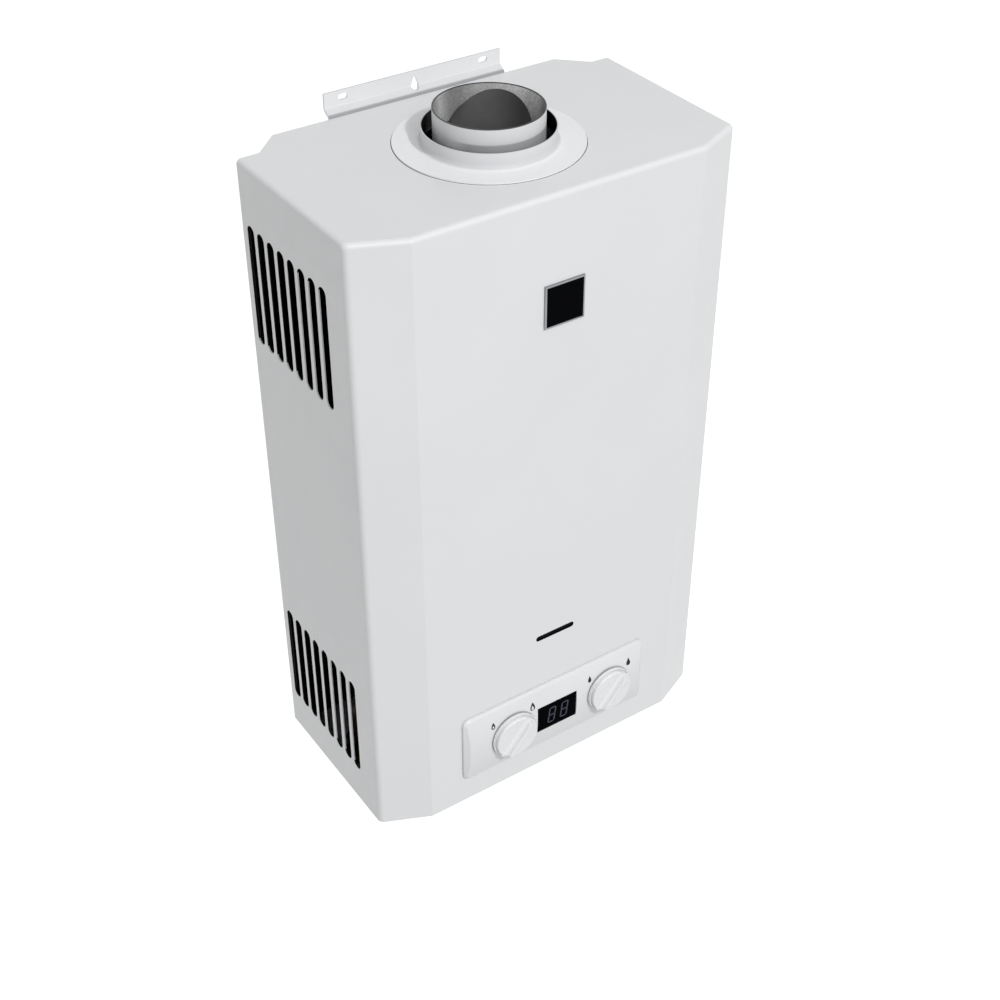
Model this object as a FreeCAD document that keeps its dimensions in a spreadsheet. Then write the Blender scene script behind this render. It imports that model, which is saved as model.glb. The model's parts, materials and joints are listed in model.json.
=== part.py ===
import FreeCAD, Part

import math
import os

import Sketcher
from FreeCAD import Placement, Rotation, Vector

# Wall-hung gas water heater, in millimetres.
# X runs to the right of someone facing it, Y into the wall and Z up.
# The origin lies on the wall, midway between the two slots of the upper bracket.
# Every piece is drawn in the casing's own frame: x from the middle of the casing,
# y from its rear edge, so that the front is at minus casing_depth, and z from its lower edge.
# The Placement of each piece then carries that frame to the wall.

SIZES = (
    # Where the casing hangs
    ("wall_gap", "29"),
    ("slot_lift", "12"),
    # Casing: a folded cover over a shallow pressed back
    ("casing_width", "330"),
    ("casing_height", "550"),
    ("casing_depth", "170"),
    ("corner_width", "41"),
    ("corner_depth", "18.5"),
    ("cover_gauge", "1"),
    ("corner_radius", "6"),
    ("front_bend_radius", "3"),
    ("top_bend_radius", "4"),
    ("lip_width", "12"),
    ("sheet_gap", "0.3"),
    ("shoulder_width", "18.3"),
    ("slope_width", "21.6"),
    ("back_depth", "21"),
    ("back_lip", "9"),
    ("back_gauge", "1"),
    ("floor_gauge", "1"),
    ("vent_length", "40"),
    ("vent_width", "5"),
    ("vent_pitch", "12"),
    ("vent_count", "6"),
    ("vent_setback", "36"),
    ("vent_front_setback", "124"),
    ("port_gap", "1.5"),
    # Louvres in the sides of the cover
    ("louvre_width", "10.4"),
    ("louvre_length", "99"),
    ("louvre_pitch", "15"),
    ("louvre_count", "8"),
    ("louvre_setback", "12.5"),
    ("upper_louvre_base", "403.6"),
    ("lower_louvre_base", "37.4"),
    # Slot for looking at the flame, and the pane behind it
    ("view_length", "38"),
    ("view_width", "5.3"),
    ("view_height", "147.8"),
    ("pane_length", "50"),
    ("pane_height", "14"),
    ("pane_gauge", "2"),
    ("pane_fit", "0.2"),
    ("clip_gauge", "0.8"),
    ("clip_margin", "5"),
    # Flue
    ("flue_setback", "74.5"),
    ("flue_radius", "41"),
    ("flue_gauge", "0.8"),
    ("flue_rise", "27"),
    ("flue_length", "87"),
    ("flue_fit", "0.1"),
    ("neck_overlap", "22"),
    ("collar_radius", "49.5"),
    ("collar_rise", "13"),
    ("collar_flange_radius", "70.5"),
    ("collar_gauge", "1"),
    ("collar_root_radius", "4"),
    ("damper_radius", "36.3"),
    ("damper_gauge", "1.2"),
    ("damper_tilt", "52.5"),
    ("damper_turn", "16"),
    ("damper_rise", "1"),
    ("axle_radius", "1.5"),
    ("axle_head_radius", "2.8"),
    ("axle_head", "1.2"),
    ("pin_fit", "0.05"),
    # Wall brackets
    ("bracket_length", "156"),
    ("bracket_gauge", "1.5"),
    ("bracket_bend_radius", "1"),
    ("bracket_leg", "50"),
    ("bracket_lift", "1"),
    ("bracket_joggle", "4.5"),
    ("bracket_slot_spacing", "124"),
    ("bracket_slot_length", "8"),
    ("bracket_slot_width", "4.5"),
    ("bracket_edge_margin", "5.3"),
    ("keyhole_radius", "3.2"),
    ("keyhole_neck_radius", "1.6"),
    ("keyhole_drop", "6"),
    ("keyhole_rise", "4.8"),
    ("foot_length", "80"),
    ("foot_slot_spacing", "50"),
    ("foot_slot_drop", "12"),
    ("rivet_radius", "2"),
    ("rivet_head_radius", "4"),
    ("rivet_head", "1.2"),
    ("rivet_spread", "120"),
    ("rivet_depth", "25"),
    # Control panel
    ("panel_width", "186"),
    ("panel_height", "67.8"),
    ("panel_middle", "60"),
    ("panel_rise", "1"),
    ("panel_depth", "6.5"),
    ("panel_bevel", "4.2"),
    ("panel_crown", "2.8"),
    ("panel_corner_radius", "5.5"),
    ("panel_edge_radius", "0.6"),
    ("panel_wall", "1.8"),
    ("panel_rim", "6.5"),
    ("hook_spread", "130"),
    ("hook_gauge", "2"),
    ("hook_length", "6"),
    ("hook_catch", "1.2"),
    ("hook_width", "6"),
    ("window_width", "41"),
    ("window_height", "28.4"),
    ("lens_gauge", "2"),
    ("lens_recess", "0.8"),
    ("lens_fit", "0.15"),
    ("lens_rim", "2"),
    ("bay_width", "174"),
    ("bay_height", "54"),
    ("bay_radius", "5"),
    ("board_width", "62"),
    ("board_height", "44"),
    ("board_gauge", "1.6"),
    ("digits_width", "34"),
    ("digits_height", "20"),
    ("digits_depth", "7"),
    ("post_radius", "2.5"),
    ("post_inset", "4"),
    # Knobs and their spindles
    ("knob_spread", "99.4"),
    ("knob_shift", "4.5"),
    ("knob_gap", "0.8"),
    ("skirt_radius", "21.8"),
    ("skirt_edge", "2.4"),
    ("cap_radius", "20.3"),
    ("cap_rise", "6.6"),
    ("cap_edge_radius", "1.2"),
    ("groove_depth", "0.9"),
    ("grip_rise", "12.5"),
    ("grip_width", "4.4"),
    ("grip_foot_radius", "3"),
    ("grip_crest_radius", "1.2"),
    ("grip_end_slope", "4"),
    ("knob_wall", "1.8"),
    ("grip_angle", "51"),
    ("spindle_radius", "4"),
    ("spindle_fit", "0.1"),
    ("spindle_reach", "5"),
    ("spindle_flat", "3"),
    ("spindle_inset", "8"),
    ("hub_radius", "6.5"),
    ("hub_depth", "8"),
    ("spindle_hole_radius", "8"),
    # Badge on the front
    ("badge_size", "34.8"),
    ("badge_height", "463.2"),
    ("badge_depth", "1.8"),
    ("badge_border", "1.3"),
    ("badge_recess", "0.9"),
    ("badge_plate_gauge", "0.7"),
    ("badge_edge_radius", "0.4"),
    # Draught hood
    ("hood_skirt", "30"),
    ("hood_cone", "56"),
    ("hood_top_width", "96"),
    ("stay_spread", "120"),
    ("stay_rise", "10"),
    ("hood_gauge", "0.8"),
    ("diverter_length", "120"),
    ("diverter_height", "14"),
    # Heat exchanger and combustion chamber
    ("core_width", "184"),
    ("core_depth", "108"),
    ("core_height", "54"),
    ("core_gauge", "1"),
    ("joint_flange", "6"),
    ("fin_count", "11"),
    ("fin_gauge", "1"),
    ("fin_margin", "8"),
    ("core_tube_radius", "8"),
    ("core_tube_wall", "1"),
    ("core_tube_spacing", "34"),
    ("core_tube_stub", "8"),
    ("chamber_height", "180"),
    ("chamber_corner_radius", "10"),
    ("sight_length", "46"),
    ("sight_base", "4"),
    ("sight_height", "12"),
    # Burner
    ("blade_height", "41"),
    ("blade_width", "11"),
    ("blade_pitch", "22"),
    ("blade_count", "7"),
    ("blade_play", "0.3"),
    ("burner_height", "46"),
    ("burner_gauge", "1"),
    ("burner_base", "100"),
    ("burner_lip", "6"),
    ("throat_radius", "5"),
    ("throat_reach", "5"),
    ("throat_bore", "4"),
    ("throat_height", "6"),
    ("throat_gap", "0.5"),
    ("port_width", "2"),
    ("port_depth", "6"),
    ("port_count", "5"),
    ("arm_gauge", "1.5"),
    ("arm_inset", "2"),
    ("arm_width", "12"),
    ("arm_drop", "30"),
    # Gas manifold
    ("manifold_length", "152"),
    ("manifold_depth", "12"),
    ("manifold_height", "14"),
    ("manifold_wall", "2"),
    ("manifold_foot", "3"),
    ("nozzle_radius", "3"),
    ("nozzle_bore", "0.8"),
    ("nozzle_reach", "9.5"),
    ("nozzle_entry", "1"),
    # Joined gas and water valve
    ("valve_setback", "75"),
    ("valve_height", "60"),
    ("gas_body_left", "92"),
    ("gas_body_right", "14"),
    ("gas_body_depth", "44"),
    ("gas_body_height", "46"),
    ("gas_body_radius", "5"),
    ("gas_bore_radius", "15"),
    ("gas_bore_depth", "26"),
    ("gas_wall", "6"),
    ("gas_port_radius", "6"),
    ("seat_gauge", "4"),
    ("seat_bore_radius", "7"),
    ("seat_inset", "26"),
    ("gland_gauge", "4"),
    ("boss_radius", "11"),
    ("boss_length", "14"),
    ("gas_outlet_offset", "28"),
    ("outlet_wall", "2.5"),
    ("outlet_length", "5"),
    ("disc_radius", "11"),
    ("disc_gauge", "3"),
    ("disc_gap", "0.3"),
    ("rod_radius", "2"),
    ("rod_collar_radius", "5"),
    ("rod_collar_width", "2"),
    ("yoke_gap", "12"),
    ("yoke_lug_radius", "5"),
    ("yoke_lug_spread", "44"),
    ("cover_height", "14"),
    ("housing_radius", "35"),
    ("cavity_radius", "25"),
    ("cavity_depth", "9"),
    ("diaphragm_gauge", "2"),
    ("diaphragm_radius", "34"),
    ("plate_radius", "22"),
    ("plate_gauge", "2"),
    ("water_flange", "14"),
    ("water_body_length", "54"),
    ("water_body_depth", "40"),
    ("water_body_height", "40"),
    ("water_port_bore", "7"),
    ("valve_screw_radius", "2"),
    ("valve_screw_circle", "30"),
    ("valve_screw_count", "6"),
    ("valve_screw_length", "24"),
    ("valve_screw_turn", "12"),
    ("valve_screw_head", "3"),
    ("valve_screw_head_radius", "3.2"),
    # Solenoid of the flame guard
    ("solenoid_radius", "14"),
    ("solenoid_gap", "5"),
    ("solenoid_wall", "3"),
    ("plunger_radius", "4"),
    ("plunger_travel", "3"),
    # Switch worked by the valve rod
    ("switch_length", "20"),
    ("switch_width", "8"),
    ("switch_height", "12"),
    ("shelf_gauge", "1"),
    ("lever_gap", "0.1"),
    ("lever_width", "5"),
    ("lever_gauge", "1"),
    ("lever_pin_radius", "0.8"),
    ("lever_hub_radius", "1.8"),
    # Pipes and connections
    ("thread_radius", "10.4"),
    ("thread_length", "14"),
    ("hex_across", "27"),
    ("hex_height", "9"),
    ("water_bore", "6.5"),
    ("port_drop", "22"),
    ("hot_margin", "25"),
    ("gas_offset", "79"),
    ("water_offset", "66"),
    ("hot_top", "26"),
    ("spigot_radius", "8"),
    ("spigot_length", "7"),
    ("thread_root_radius", "9.2"),
    ("relief_width", "2"),
    ("thread_chamfer", "1"),
    ("socket_depth", "9"),
    ("drain_offset", "40"),
    ("drain_radius", "6.5"),
    ("drain_neck_radius", "4.5"),
    ("drain_stem_radius", "4"),
    ("drain_cap_height", "9"),
    ("drain_cap_top", "6"),
    ("gas_pipe_radius", "5"),
    ("water_pipe_radius", "7"),
    ("pipe_wall", "1"),
    ("pipe_bend", "16"),
    ("coil_gap", "0.3"),
    ("coil_height", "236"),
    ("cutout_lift", "40"),
    ("riser_reach", "22"),
    ("hot_jog_top", "90"),
    # Ignition and safety
    ("igniter_width", "46"),
    ("igniter_height", "84"),
    ("igniter_depth", "26"),
    ("igniter_offset", "98"),
    ("igniter_base", "104"),
    ("igniter_edge_radius", "3"),
    ("electrode_radius", "3.5"),
    ("electrode_length", "34"),
    ("electrode_wire_radius", "1"),
    ("electrode_spread", "70"),
    ("electrode_rise", "22"),
    ("electrode_stand", "18"),
    ("electrode_collar", "2"),
    ("electrode_collar_radius", "6"),
    ("electrode_tip", "8"),
    ("electrode_gap", "5"),
    ("cutout_radius", "9"),
    ("cutout_height", "9"),
    ("sensor_radius", "10"),
    ("sensor_height", "8"),
    # Battery box under the right corner
    ("cell_radius", "16.5"),
    ("cell_length", "60"),
    ("cell_cap_radius", "4.5"),
    ("cell_cap", "1.5"),
    ("cell_play", "0.5"),
    ("box_wall", "2"),
    ("box_margin", "39"),
    ("box_inset", "60"),
    ("box_rim", "2.5"),
    ("door_gauge", "2.2"),
    ("door_play", "0.4"),
    ("door_pin_radius", "1.4"),
    ("door_hub_radius", "3"),
    ("door_hub_length", "16"),
    # Small fixings and leads
    ("cover_screw_radius", "2"),
    ("cover_screw_head", "4"),
    ("cover_screw_length", "6"),
    ("cover_screw_setback", "60"),
    ("cover_screw_spread", "160"),
    ("cover_screw_head_height", "2"),
    ("lead_radius", "1.2"),
    ("lead_bend", "8"),
)

FULL_TURN = 360.0
RIGHT_ANGLE = 90.0

doc = FreeCAD.newDocument("gas_water_heater")
sheet = doc.addObject("Spreadsheet::Sheet", "Dims")
for row, (word, number) in enumerate(SIZES, start=1):
    sheet.set("A%d" % row, word)
    sheet.set("B%d" % row, number)
    sheet.setAlias("B%d" % row, word)
doc.recompute()


class Size:
    """A length that knows both its value and the cell formula that gives it."""

    def __init__(self, value, text):
        self.value = float(value)
        self.text = text

    def __add__(self, other):
        other = as_size(other)
        return Size(self.value + other.value, "(%s + %s)" % (self.text, other.text))

    __radd__ = __add__

    def __sub__(self, other):
        other = as_size(other)
        return Size(self.value - other.value, "(%s - %s)" % (self.text, other.text))

    def __rsub__(self, other):
        return as_size(other) - self

    def __mul__(self, other):
        other = as_size(other)
        return Size(self.value * other.value, "(%s * %s)" % (self.text, other.text))

    __rmul__ = __mul__

    def __truediv__(self, other):
        other = as_size(other)
        return Size(self.value / other.value, "(%s / %s)" % (self.text, other.text))

    def __neg__(self):
        return Size(-self.value, "(0 - %s)" % self.text)


def as_size(number):
    return number if isinstance(number, Size) else Size(number, "(%.9g)" % number)


def hypot(a, b):
    return Size(math.hypot(a.value, b.value), "sqrt(%s * %s + %s * %s)" % (a.text, a.text, b.text, b.text))


class Dims:
    """Reads a driving dimension from the sheet by its word."""

    def __getattr__(self, word):
        return Size(getattr(sheet, word), "Dims." + word)


d = Dims()
slot_height = d.casing_height + d.slot_lift
PIECES = []
STARTS = {}


def vector(x, y, z):
    return Vector(as_size(x).value, as_size(y).value, as_size(z).value)


def bind(thing, path, size):
    thing.setExpression(path, as_size(size).text)


def keep(piece, x=0, y=0, z=0, turn=None):
    """Hangs a finished piece in its place from the wall and lists it for writing."""
    x, y, z = STARTS.get(piece.Name, (x, y, z))
    y = y - d.wall_gap
    z = z - slot_height
    piece.Placement = Placement(vector(x, y, z), turn or piece.Placement.Rotation)
    for axis, size in (("x", x), ("y", y), ("z", z)):
        bind(piece, ".Placement.Base." + axis, size)
    PIECES.append(piece)
    return piece


# Sketches and features of turned, folded and moulded pieces


def new_body(label):
    body = doc.addObject("PartDesign::Body", label)
    body.Label = label
    return body


def new_sketch(body, role, offset=0.0):
    """A sketch on one of the body's own planes, moved along that plane's normal."""
    sketch = body.newObject("Sketcher::SketchObject", body.Label + "_sketch")
    sketch.AttachmentSupport = [(next(f for f in body.Origin.OriginFeatures if f.Role == role), "")]
    sketch.MapMode = "FlatFace"
    sketch.AttachmentOffset = Placement(vector(0, 0, offset), Rotation())
    bind(sketch, ".AttachmentOffset.Base.z", offset)
    return sketch


def fix(sketch, kind, geometry, point, size):
    """One driving dimension of a sketch, measured from its origin or round its centre."""
    size = as_size(size)
    if kind == "Radius":
        constraint = Sketcher.Constraint(kind, geometry, size.value)
    else:
        constraint = Sketcher.Constraint(kind, -1, 1, geometry, point, size.value)
    bind(sketch, "Constraints[%d]" % sketch.addConstraint(constraint), size)


def polygon(sketch, points):
    ends = [vector(x, y, 0) for x, y in points]
    count = len(points)
    first = sketch.GeometryCount
    lines = [Part.LineSegment(ends[i], ends[(i + 1) % count]) for i in range(count)]
    sketch.addGeometry(lines, False)
    joins = [Sketcher.Constraint("Coincident", first + i, 2, first + (i + 1) % count, 1)
             for i in range(count)]
    sketch.addConstraint(joins)
    for i, (x, y) in enumerate(points):
        fix(sketch, "DistanceX", first + i, 1, x)
        fix(sketch, "DistanceY", first + i, 1, y)
    return sketch


def rectangle(sketch, x0, y0, x1, y1):
    return polygon(sketch, [(x0, y0), (x1, y0), (x1, y1), (x0, y1)])


def circle(sketch, x, y, radius):
    ring = Part.Circle(vector(x, y, 0), Vector(0, 0, 1), as_size(radius).value)
    index = sketch.addGeometry(ring, False)
    fix(sketch, "DistanceX", index, 3, x)
    fix(sketch, "DistanceY", index, 3, y)
    fix(sketch, "Radius", index, 3, radius)
    return sketch


def closed_arcs(sketch, arcs):
    """Arcs joined end to start by tangent lines; each arc is (x, y, radius, start, end) in radians."""
    first = sketch.GeometryCount
    curves = []
    for x, y, radius, start, end in arcs:
        ring = Part.Circle(vector(x, y, 0), Vector(0, 0, 1), as_size(radius).value)
        curves.append(Part.ArcOfCircle(ring, start, end))
    count = len(curves)
    for i in range(count):
        curves.append(Part.LineSegment(curves[i].EndPoint, curves[(i + 1) % count].StartPoint))
    sketch.addGeometry(curves, False)
    joins = []
    for i in range(count):
        joins.append(Sketcher.Constraint("Tangent", first + i, 2, first + count + i, 1))
        joins.append(Sketcher.Constraint("Tangent", first + count + i, 2, first + (i + 1) % count, 1))
    sketch.addConstraint(joins)
    for i, (x, y, radius, _start, _end) in enumerate(arcs):
        fix(sketch, "DistanceX", first + i, 3, x)
        fix(sketch, "DistanceY", first + i, 3, y)
        fix(sketch, "Radius", first + i, 3, radius)
    return sketch


def rounded(sketch, x0, y0, x1, y1, radius):
    """A rectangle with round corners."""
    corners = ((x1 - radius, y1 - radius), (x0 + radius, y1 - radius),
               (x0 + radius, y0 + radius), (x1 - radius, y0 + radius))
    quarter = math.pi / 2
    return closed_arcs(sketch, [(x, y, radius, i * quarter, (i + 1) * quarter)
                                for i, (x, y) in enumerate(corners)])


def slot(sketch, x0, y0, radius0, x1, y1, radius1):
    """A round-ended slot, or a pear shape where the two radii differ."""
    dx = as_size(x1 - x0).value
    dy = as_size(y1 - y0).value
    lean = math.acos((as_size(radius0).value - as_size(radius1).value) / math.hypot(dx, dy))
    heading = math.atan2(dy, dx)
    return closed_arcs(sketch, [(x1, y1, radius1, heading - lean, heading + lean),
                                (x0, y0, radius0, heading + lean, heading - lean + 2 * math.pi)])


def add_feature(body, kind, **settings):
    feature = body.newObject("PartDesign::" + kind, body.Label + "_" + kind.lower())
    for word, value in settings.items():
        if isinstance(value, Size):
            bind(feature, word, value)
        else:
            setattr(feature, word, value)
    body.Tip = feature
    doc.recompute()
    return feature


def pad(body, sketch, length, both=False, back=False):
    return add_feature(body, "Pad", Profile=sketch, Length=as_size(length), Midplane=both, Reversed=back)


def pocket(body, sketch, length=None, both=False, back=False):
    """Cuts the sketch out: to a depth, or through everything where no depth is given."""
    before = body.Shape.Volume
    if length is None:
        feature = add_feature(body, "Pocket", Profile=sketch, Type="ThroughAll", Midplane=both, Reversed=back)
    else:
        feature = add_feature(body, "Pocket", Profile=sketch, Length=as_size(length), Midplane=both,
                              Reversed=back)
    if not body.Shape.Volume < before:
        raise RuntimeError(body.Label + ": a pocket cut nothing")
    return feature


def revolve(body, sketch, axis, kind="Revolution"):
    return add_feature(body, kind, Profile=sketch, ReferenceAxis=(sketch, [axis]), Angle=FULL_TURN)


def edges(shape, test):
    return ["Edge%d" % (i + 1) for i, edge in enumerate(shape.Edges) if test(edge.BoundBox)]


def faces(shape, test):
    return ["Face%d" % (i + 1) for i, face in enumerate(shape.Faces) if test(face.BoundBox)]


def near(a, b):
    return abs(as_size(a).value - as_size(b).value) < 0.01


def fillet(body, test, radius):
    base = body.Tip
    return add_feature(body, "Fillet", Base=(base, edges(base.Shape, test)), Radius=as_size(radius))


def chamfer(body, test, size):
    base = body.Tip
    return add_feature(body, "Chamfer", Base=(base, edges(base.Shape, test)), Size=as_size(size))


def shell(body, test, wall):
    """Hollows the body, leaving out the faces that the test picks."""
    base = body.Tip
    return add_feature(body, "Thickness", Base=(base, faces(base.Shape, test)), Value=as_size(wall),
                       Join=0, Reversed=True)


def repeat(body, feature, sketch, axis, length, count, back=False):
    """A row of one feature along a line of its own sketch."""
    return add_feature(body, "LinearPattern", Originals=[feature], Direction=(sketch, [axis]),
                       Length=as_size(length), Occurrences=as_size(count), Reversed=back)


# Plain blocks and rods, joined and cut


def start_at(piece, x, y, z):
    """Puts a block or rod at its own first corner or centre, and notes it for later."""
    STARTS[piece.Name] = (x, y, z)
    for axis, size in (("x", x), ("y", y), ("z", z)):
        bind(piece, ".Placement.Base." + axis, size)
    return piece


def block(label, x0, y0, z0, x1, y1, z1):
    piece = doc.addObject("Part::Box", label)
    for word, size in (("Length", x1 - x0), ("Width", y1 - y0), ("Height", z1 - z0)):
        bind(piece, word, size)
    return start_at(piece, x0, y0, z0)


TURNS = {
    "+Z": Rotation(),
    "-Z": Rotation(Vector(1, 0, 0), 180),
    "+X": Rotation(Vector(0, 1, 0), 90),
    "-X": Rotation(Vector(0, 1, 0), -90),
    "+Y": Rotation(Vector(1, 0, 0), -90),
    "-Y": Rotation(Vector(1, 0, 0), 90),
}


def rod(label, heading, x, y, z, radius, length):
    """A cylinder from a point, along one of the axes."""
    piece = doc.addObject("Part::Cylinder", label)
    piece.Placement = Placement(Vector(), TURNS[heading])
    bind(piece, "Radius", radius)
    bind(piece, "Height", length)
    return start_at(piece, x, y, z)


def join(label, parts):
    piece = doc.addObject("Part::MultiFuse", label)
    piece.Shapes = parts
    piece.Refine = True
    return piece


def cut(label, base, tools):
    piece = doc.addObject("Part::Cut", label)
    piece.Base = base
    piece.Tool = tools[0] if len(tools) == 1 else join(label + "_tools", tools)
    piece.Refine = True
    return piece


def formed(label, shapes):
    """A piece, or a set of like pieces, whose form is worked out point by point."""
    piece = doc.addObject("Part::Feature", label)
    piece.Shape = Part.makeCompound(shapes)
    return piece


def turned_pin(steps, x, y, z, heading):
    """A pin turned in steps, each a pair of length and radius, from a point along a heading."""
    outline = [Vector(0, 0, 0)]
    height = 0.0
    for length, radius in steps:
        outline.append(vector(radius, 0, height))
        height += as_size(length).value
        outline.append(vector(radius, 0, height))
    outline.append(Vector(0, 0, height))
    outline.append(outline[0])
    pin = Part.Face(Part.makePolygon(outline)).revolve(Vector(), Vector(0, 0, 1), FULL_TURN)
    pin.Placement = Placement(vector(x, y, z), TURNS[heading])
    return pin


def bent_path(points, bend):
    """Straight runs joined by tangent arcs, none of which takes half of a run."""
    points = [vector(*point) for point in points]
    start = points[0]
    path = []
    for i in range(1, len(points) - 1):
        back = (points[i - 1] - points[i]).normalize()
        ahead = (points[i + 1] - points[i]).normalize()
        half_turn = (math.pi - back.getAngle(ahead)) / 2
        shorter = min((points[i] - points[i - 1]).Length, (points[i + 1] - points[i]).Length)
        radius = min(as_size(bend).value, 0.45 * shorter / math.tan(half_turn))
        setback = radius * math.tan(half_turn)
        first = points[i] + back * setback
        last = points[i] + ahead * setback
        inward = (back + ahead).normalize()
        centre = points[i] + inward * (radius / math.cos(half_turn))
        middle = centre - inward * radius
        path.append(Part.LineSegment(start, first).toShape())
        path.append(Part.Arc(first, middle, last).toShape())
        start = last
    path.append(Part.LineSegment(start, points[-1]).toShape())
    return Part.Wire(path)


def swept(path, radius, wall=None):
    """A round bar or tube along a path, checked against its section times its length."""
    start = path.Edges[0]
    heading = start.tangentAt(start.FirstParameter)
    place = start.valueAt(start.FirstParameter)
    section = Part.Face(Part.Wire(Part.makeCircle(as_size(radius).value, place, heading)))
    if wall is not None:
        bore = Part.makeCircle(as_size(radius - wall).value, place, heading)
        section = section.cut(Part.Face(Part.Wire(bore)))
    bar = path.makePipe(section)
    bar = bar.Solids[0]
    wanted = section.Area * path.Length
    if abs(bar.Volume - wanted) > 0.01 * wanted:
        raise RuntimeError("a swept bar has the wrong volume")
    return bar


def bent_tube(label, points, radius, wall, bend):
    return formed(label, [swept(bent_path(points, bend), radius, wall)])


# Heights and faces that several pieces share

half_width = d.casing_width / 2
hot_x = half_width - d.hot_margin
box_x = half_width - d.box_margin
box_setback = d.casing_depth - d.box_inset
front_face = -d.casing_depth
shoulder_x = half_width - d.shoulder_width
slope_x = shoulder_x - d.slope_width
top_inside = d.casing_height - d.cover_gauge
floor_top = d.cover_gauge + d.floor_gauge
flue_y = -d.flue_setback
panel_face = front_face - d.panel_depth
panel_centre = d.panel_middle + d.panel_rise
panel_low = panel_centre - d.panel_height / 2
panel_high = panel_centre + d.panel_height / 2
bay_low = d.panel_middle - d.bay_height / 2
bay_high = d.panel_middle + d.bay_height / 2
valve_y = -d.valve_setback
port_y = valve_y
left_knob_x = d.knob_shift - d.knob_spread / 2
right_knob_x = d.knob_shift + d.knob_spread / 2


def casing_plan(inset, rear):
    """Plan of the casing with its cut front corners, drawn inside by a given wall."""
    slant = hypot(d.corner_width, d.corner_depth)
    side_x = half_width - inset
    side_y = d.corner_depth - d.casing_depth + inset * (slant - d.corner_depth) / d.corner_width
    front_x = half_width - d.corner_width - inset * (slant - d.corner_width) / d.corner_depth
    front_y = inset - d.casing_depth
    return [(-side_x, rear), (-side_x, side_y), (-front_x, front_y),
            (front_x, front_y), (side_x, side_y), (side_x, rear)]


def cover_screw_points():
    edge = d.lip_width / 2
    ahead = front_face + edge
    aside = half_width - edge
    return [(side * aside, -d.cover_screw_setback) for side in (-1, 1)] + \
        [(side * d.cover_screw_spread / 2, ahead) for side in (-1, 1)]


def make_front_cover():
    """Folded cover: front, cut corners, sides and top, with a narrow lip round the bottom."""
    body = new_body("front_cover")
    plan = polygon(new_sketch(body, "XY_Plane"), casing_plan(as_size(0), as_size(0)))
    pad(body, plan, d.casing_height)
    tall = d.casing_height.value - 1
    fillet(body, lambda b: b.ZLength > tall and near(b.XMin * b.XMin, half_width.value ** 2) and b.YMax < -1,
           d.corner_radius)
    fillet(body, lambda b: b.ZLength > tall and near(b.YMax, front_face), d.front_bend_radius)
    fillet(body, lambda b: near(b.ZMin, d.casing_height) and b.YMin < -0.1, d.top_bend_radius)
    shell(body, lambda b: near(b.YMin, 0), d.cover_gauge)

    lip = polygon(new_sketch(body, "XY_Plane"), casing_plan(d.lip_width, d.cover_gauge))
    pocket(body, lip, d.cover_gauge * 2, back=True)
    holes = new_sketch(body, "XY_Plane")
    for x, y in cover_screw_points():
        circle(holes, x, y, d.cover_screw_radius + d.pin_fit)
    pocket(body, holes, d.cover_gauge * 2, back=True)

    tongue = new_sketch(body, "XY_Plane", top_inside)
    polygon(tongue, [(-shoulder_x, -d.back_lip), (shoulder_x, -d.back_lip), (shoulder_x, as_size(0)),
                     (slope_x, d.back_depth), (-slope_x, d.back_depth), (-shoulder_x, as_size(0))])
    pad(body, tongue, d.cover_gauge)

    vent = circle(new_sketch(body, "XY_Plane", d.casing_height), as_size(0), flue_y,
                  d.collar_radius - d.collar_gauge)
    pocket(body, vent, d.cover_gauge * 2)

    front = new_sketch(body, "XZ_Plane", d.casing_depth)
    rounded(front, -d.bay_width / 2, bay_low, d.bay_width / 2, bay_high, d.bay_radius)
    view_end = d.view_length / 2 - d.view_width / 2
    slot(front, -view_end, d.view_height, d.view_width / 2, view_end, d.view_height, d.view_width / 2)
    pocket(body, front, d.cover_gauge * 2)

    louvre = new_sketch(body, "YZ_Plane")
    radius = d.louvre_width / 2
    for base in (d.lower_louvre_base, d.upper_louvre_base):
        slot(louvre, -d.louvre_setback, base + radius, radius,
             -d.louvre_setback, base + d.louvre_length - radius, radius)
    first = pocket(body, louvre, both=True)
    repeat(body, first, louvre, "H_Axis", d.louvre_pitch * (d.louvre_count - 1), d.louvre_count, back=True)
    return keep(body)


def rivet_points():
    """Where the brackets are riveted to the back: four above and two below."""
    across = d.rivet_spread / 2
    upper = [(side * across, d.casing_height - d.rivet_depth - drop)
             for side in (-1, 1) for drop in (as_size(0), d.rivet_depth / 2)]
    foot = d.foot_length / 2 - d.rivet_depth / 2
    return upper + [(side * foot, d.rivet_depth) for side in (-1, 1)]


def make_back_plate():
    """Pressed back: a shallow tray with sloping sides and a lip inside the cover's walls."""
    body = new_body("back_plate")
    lip_x = half_width - d.cover_gauge - d.sheet_gap
    plan = [(-lip_x, -d.back_lip), (-lip_x, as_size(0)), (-shoulder_x, as_size(0)), (-slope_x, d.back_depth),
            (slope_x, d.back_depth), (shoulder_x, as_size(0)), (lip_x, as_size(0)), (lip_x, -d.back_lip)]
    tray = polygon(new_sketch(body, "XY_Plane", d.cover_gauge), plan)
    pad(body, tray, top_inside - d.cover_gauge)
    fillet(body, lambda b: near(b.ZMin, top_inside) and near(b.XMin * b.XMax, lip_x.value ** 2),
           d.top_bend_radius)
    shell(body, lambda b: near(b.YMax, -d.back_lip), d.back_gauge)
    holes = new_sketch(body, "XZ_Plane")
    for x, z in rivet_points():
        circle(holes, x, z, d.rivet_radius + d.pin_fit)
    pocket(body, holes, both=True)
    return keep(body)


def box_plan(margin):
    """Outer plan of the battery box, grown by a margin: two cells side by side."""
    across = d.cell_radius + d.cell_play + d.box_wall + margin
    along = d.cell_radius * 2 + d.cell_play * 3 / 2 + d.box_wall + margin
    return box_x - across, -box_setback - along, box_x + across, -box_setback + along


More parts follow.
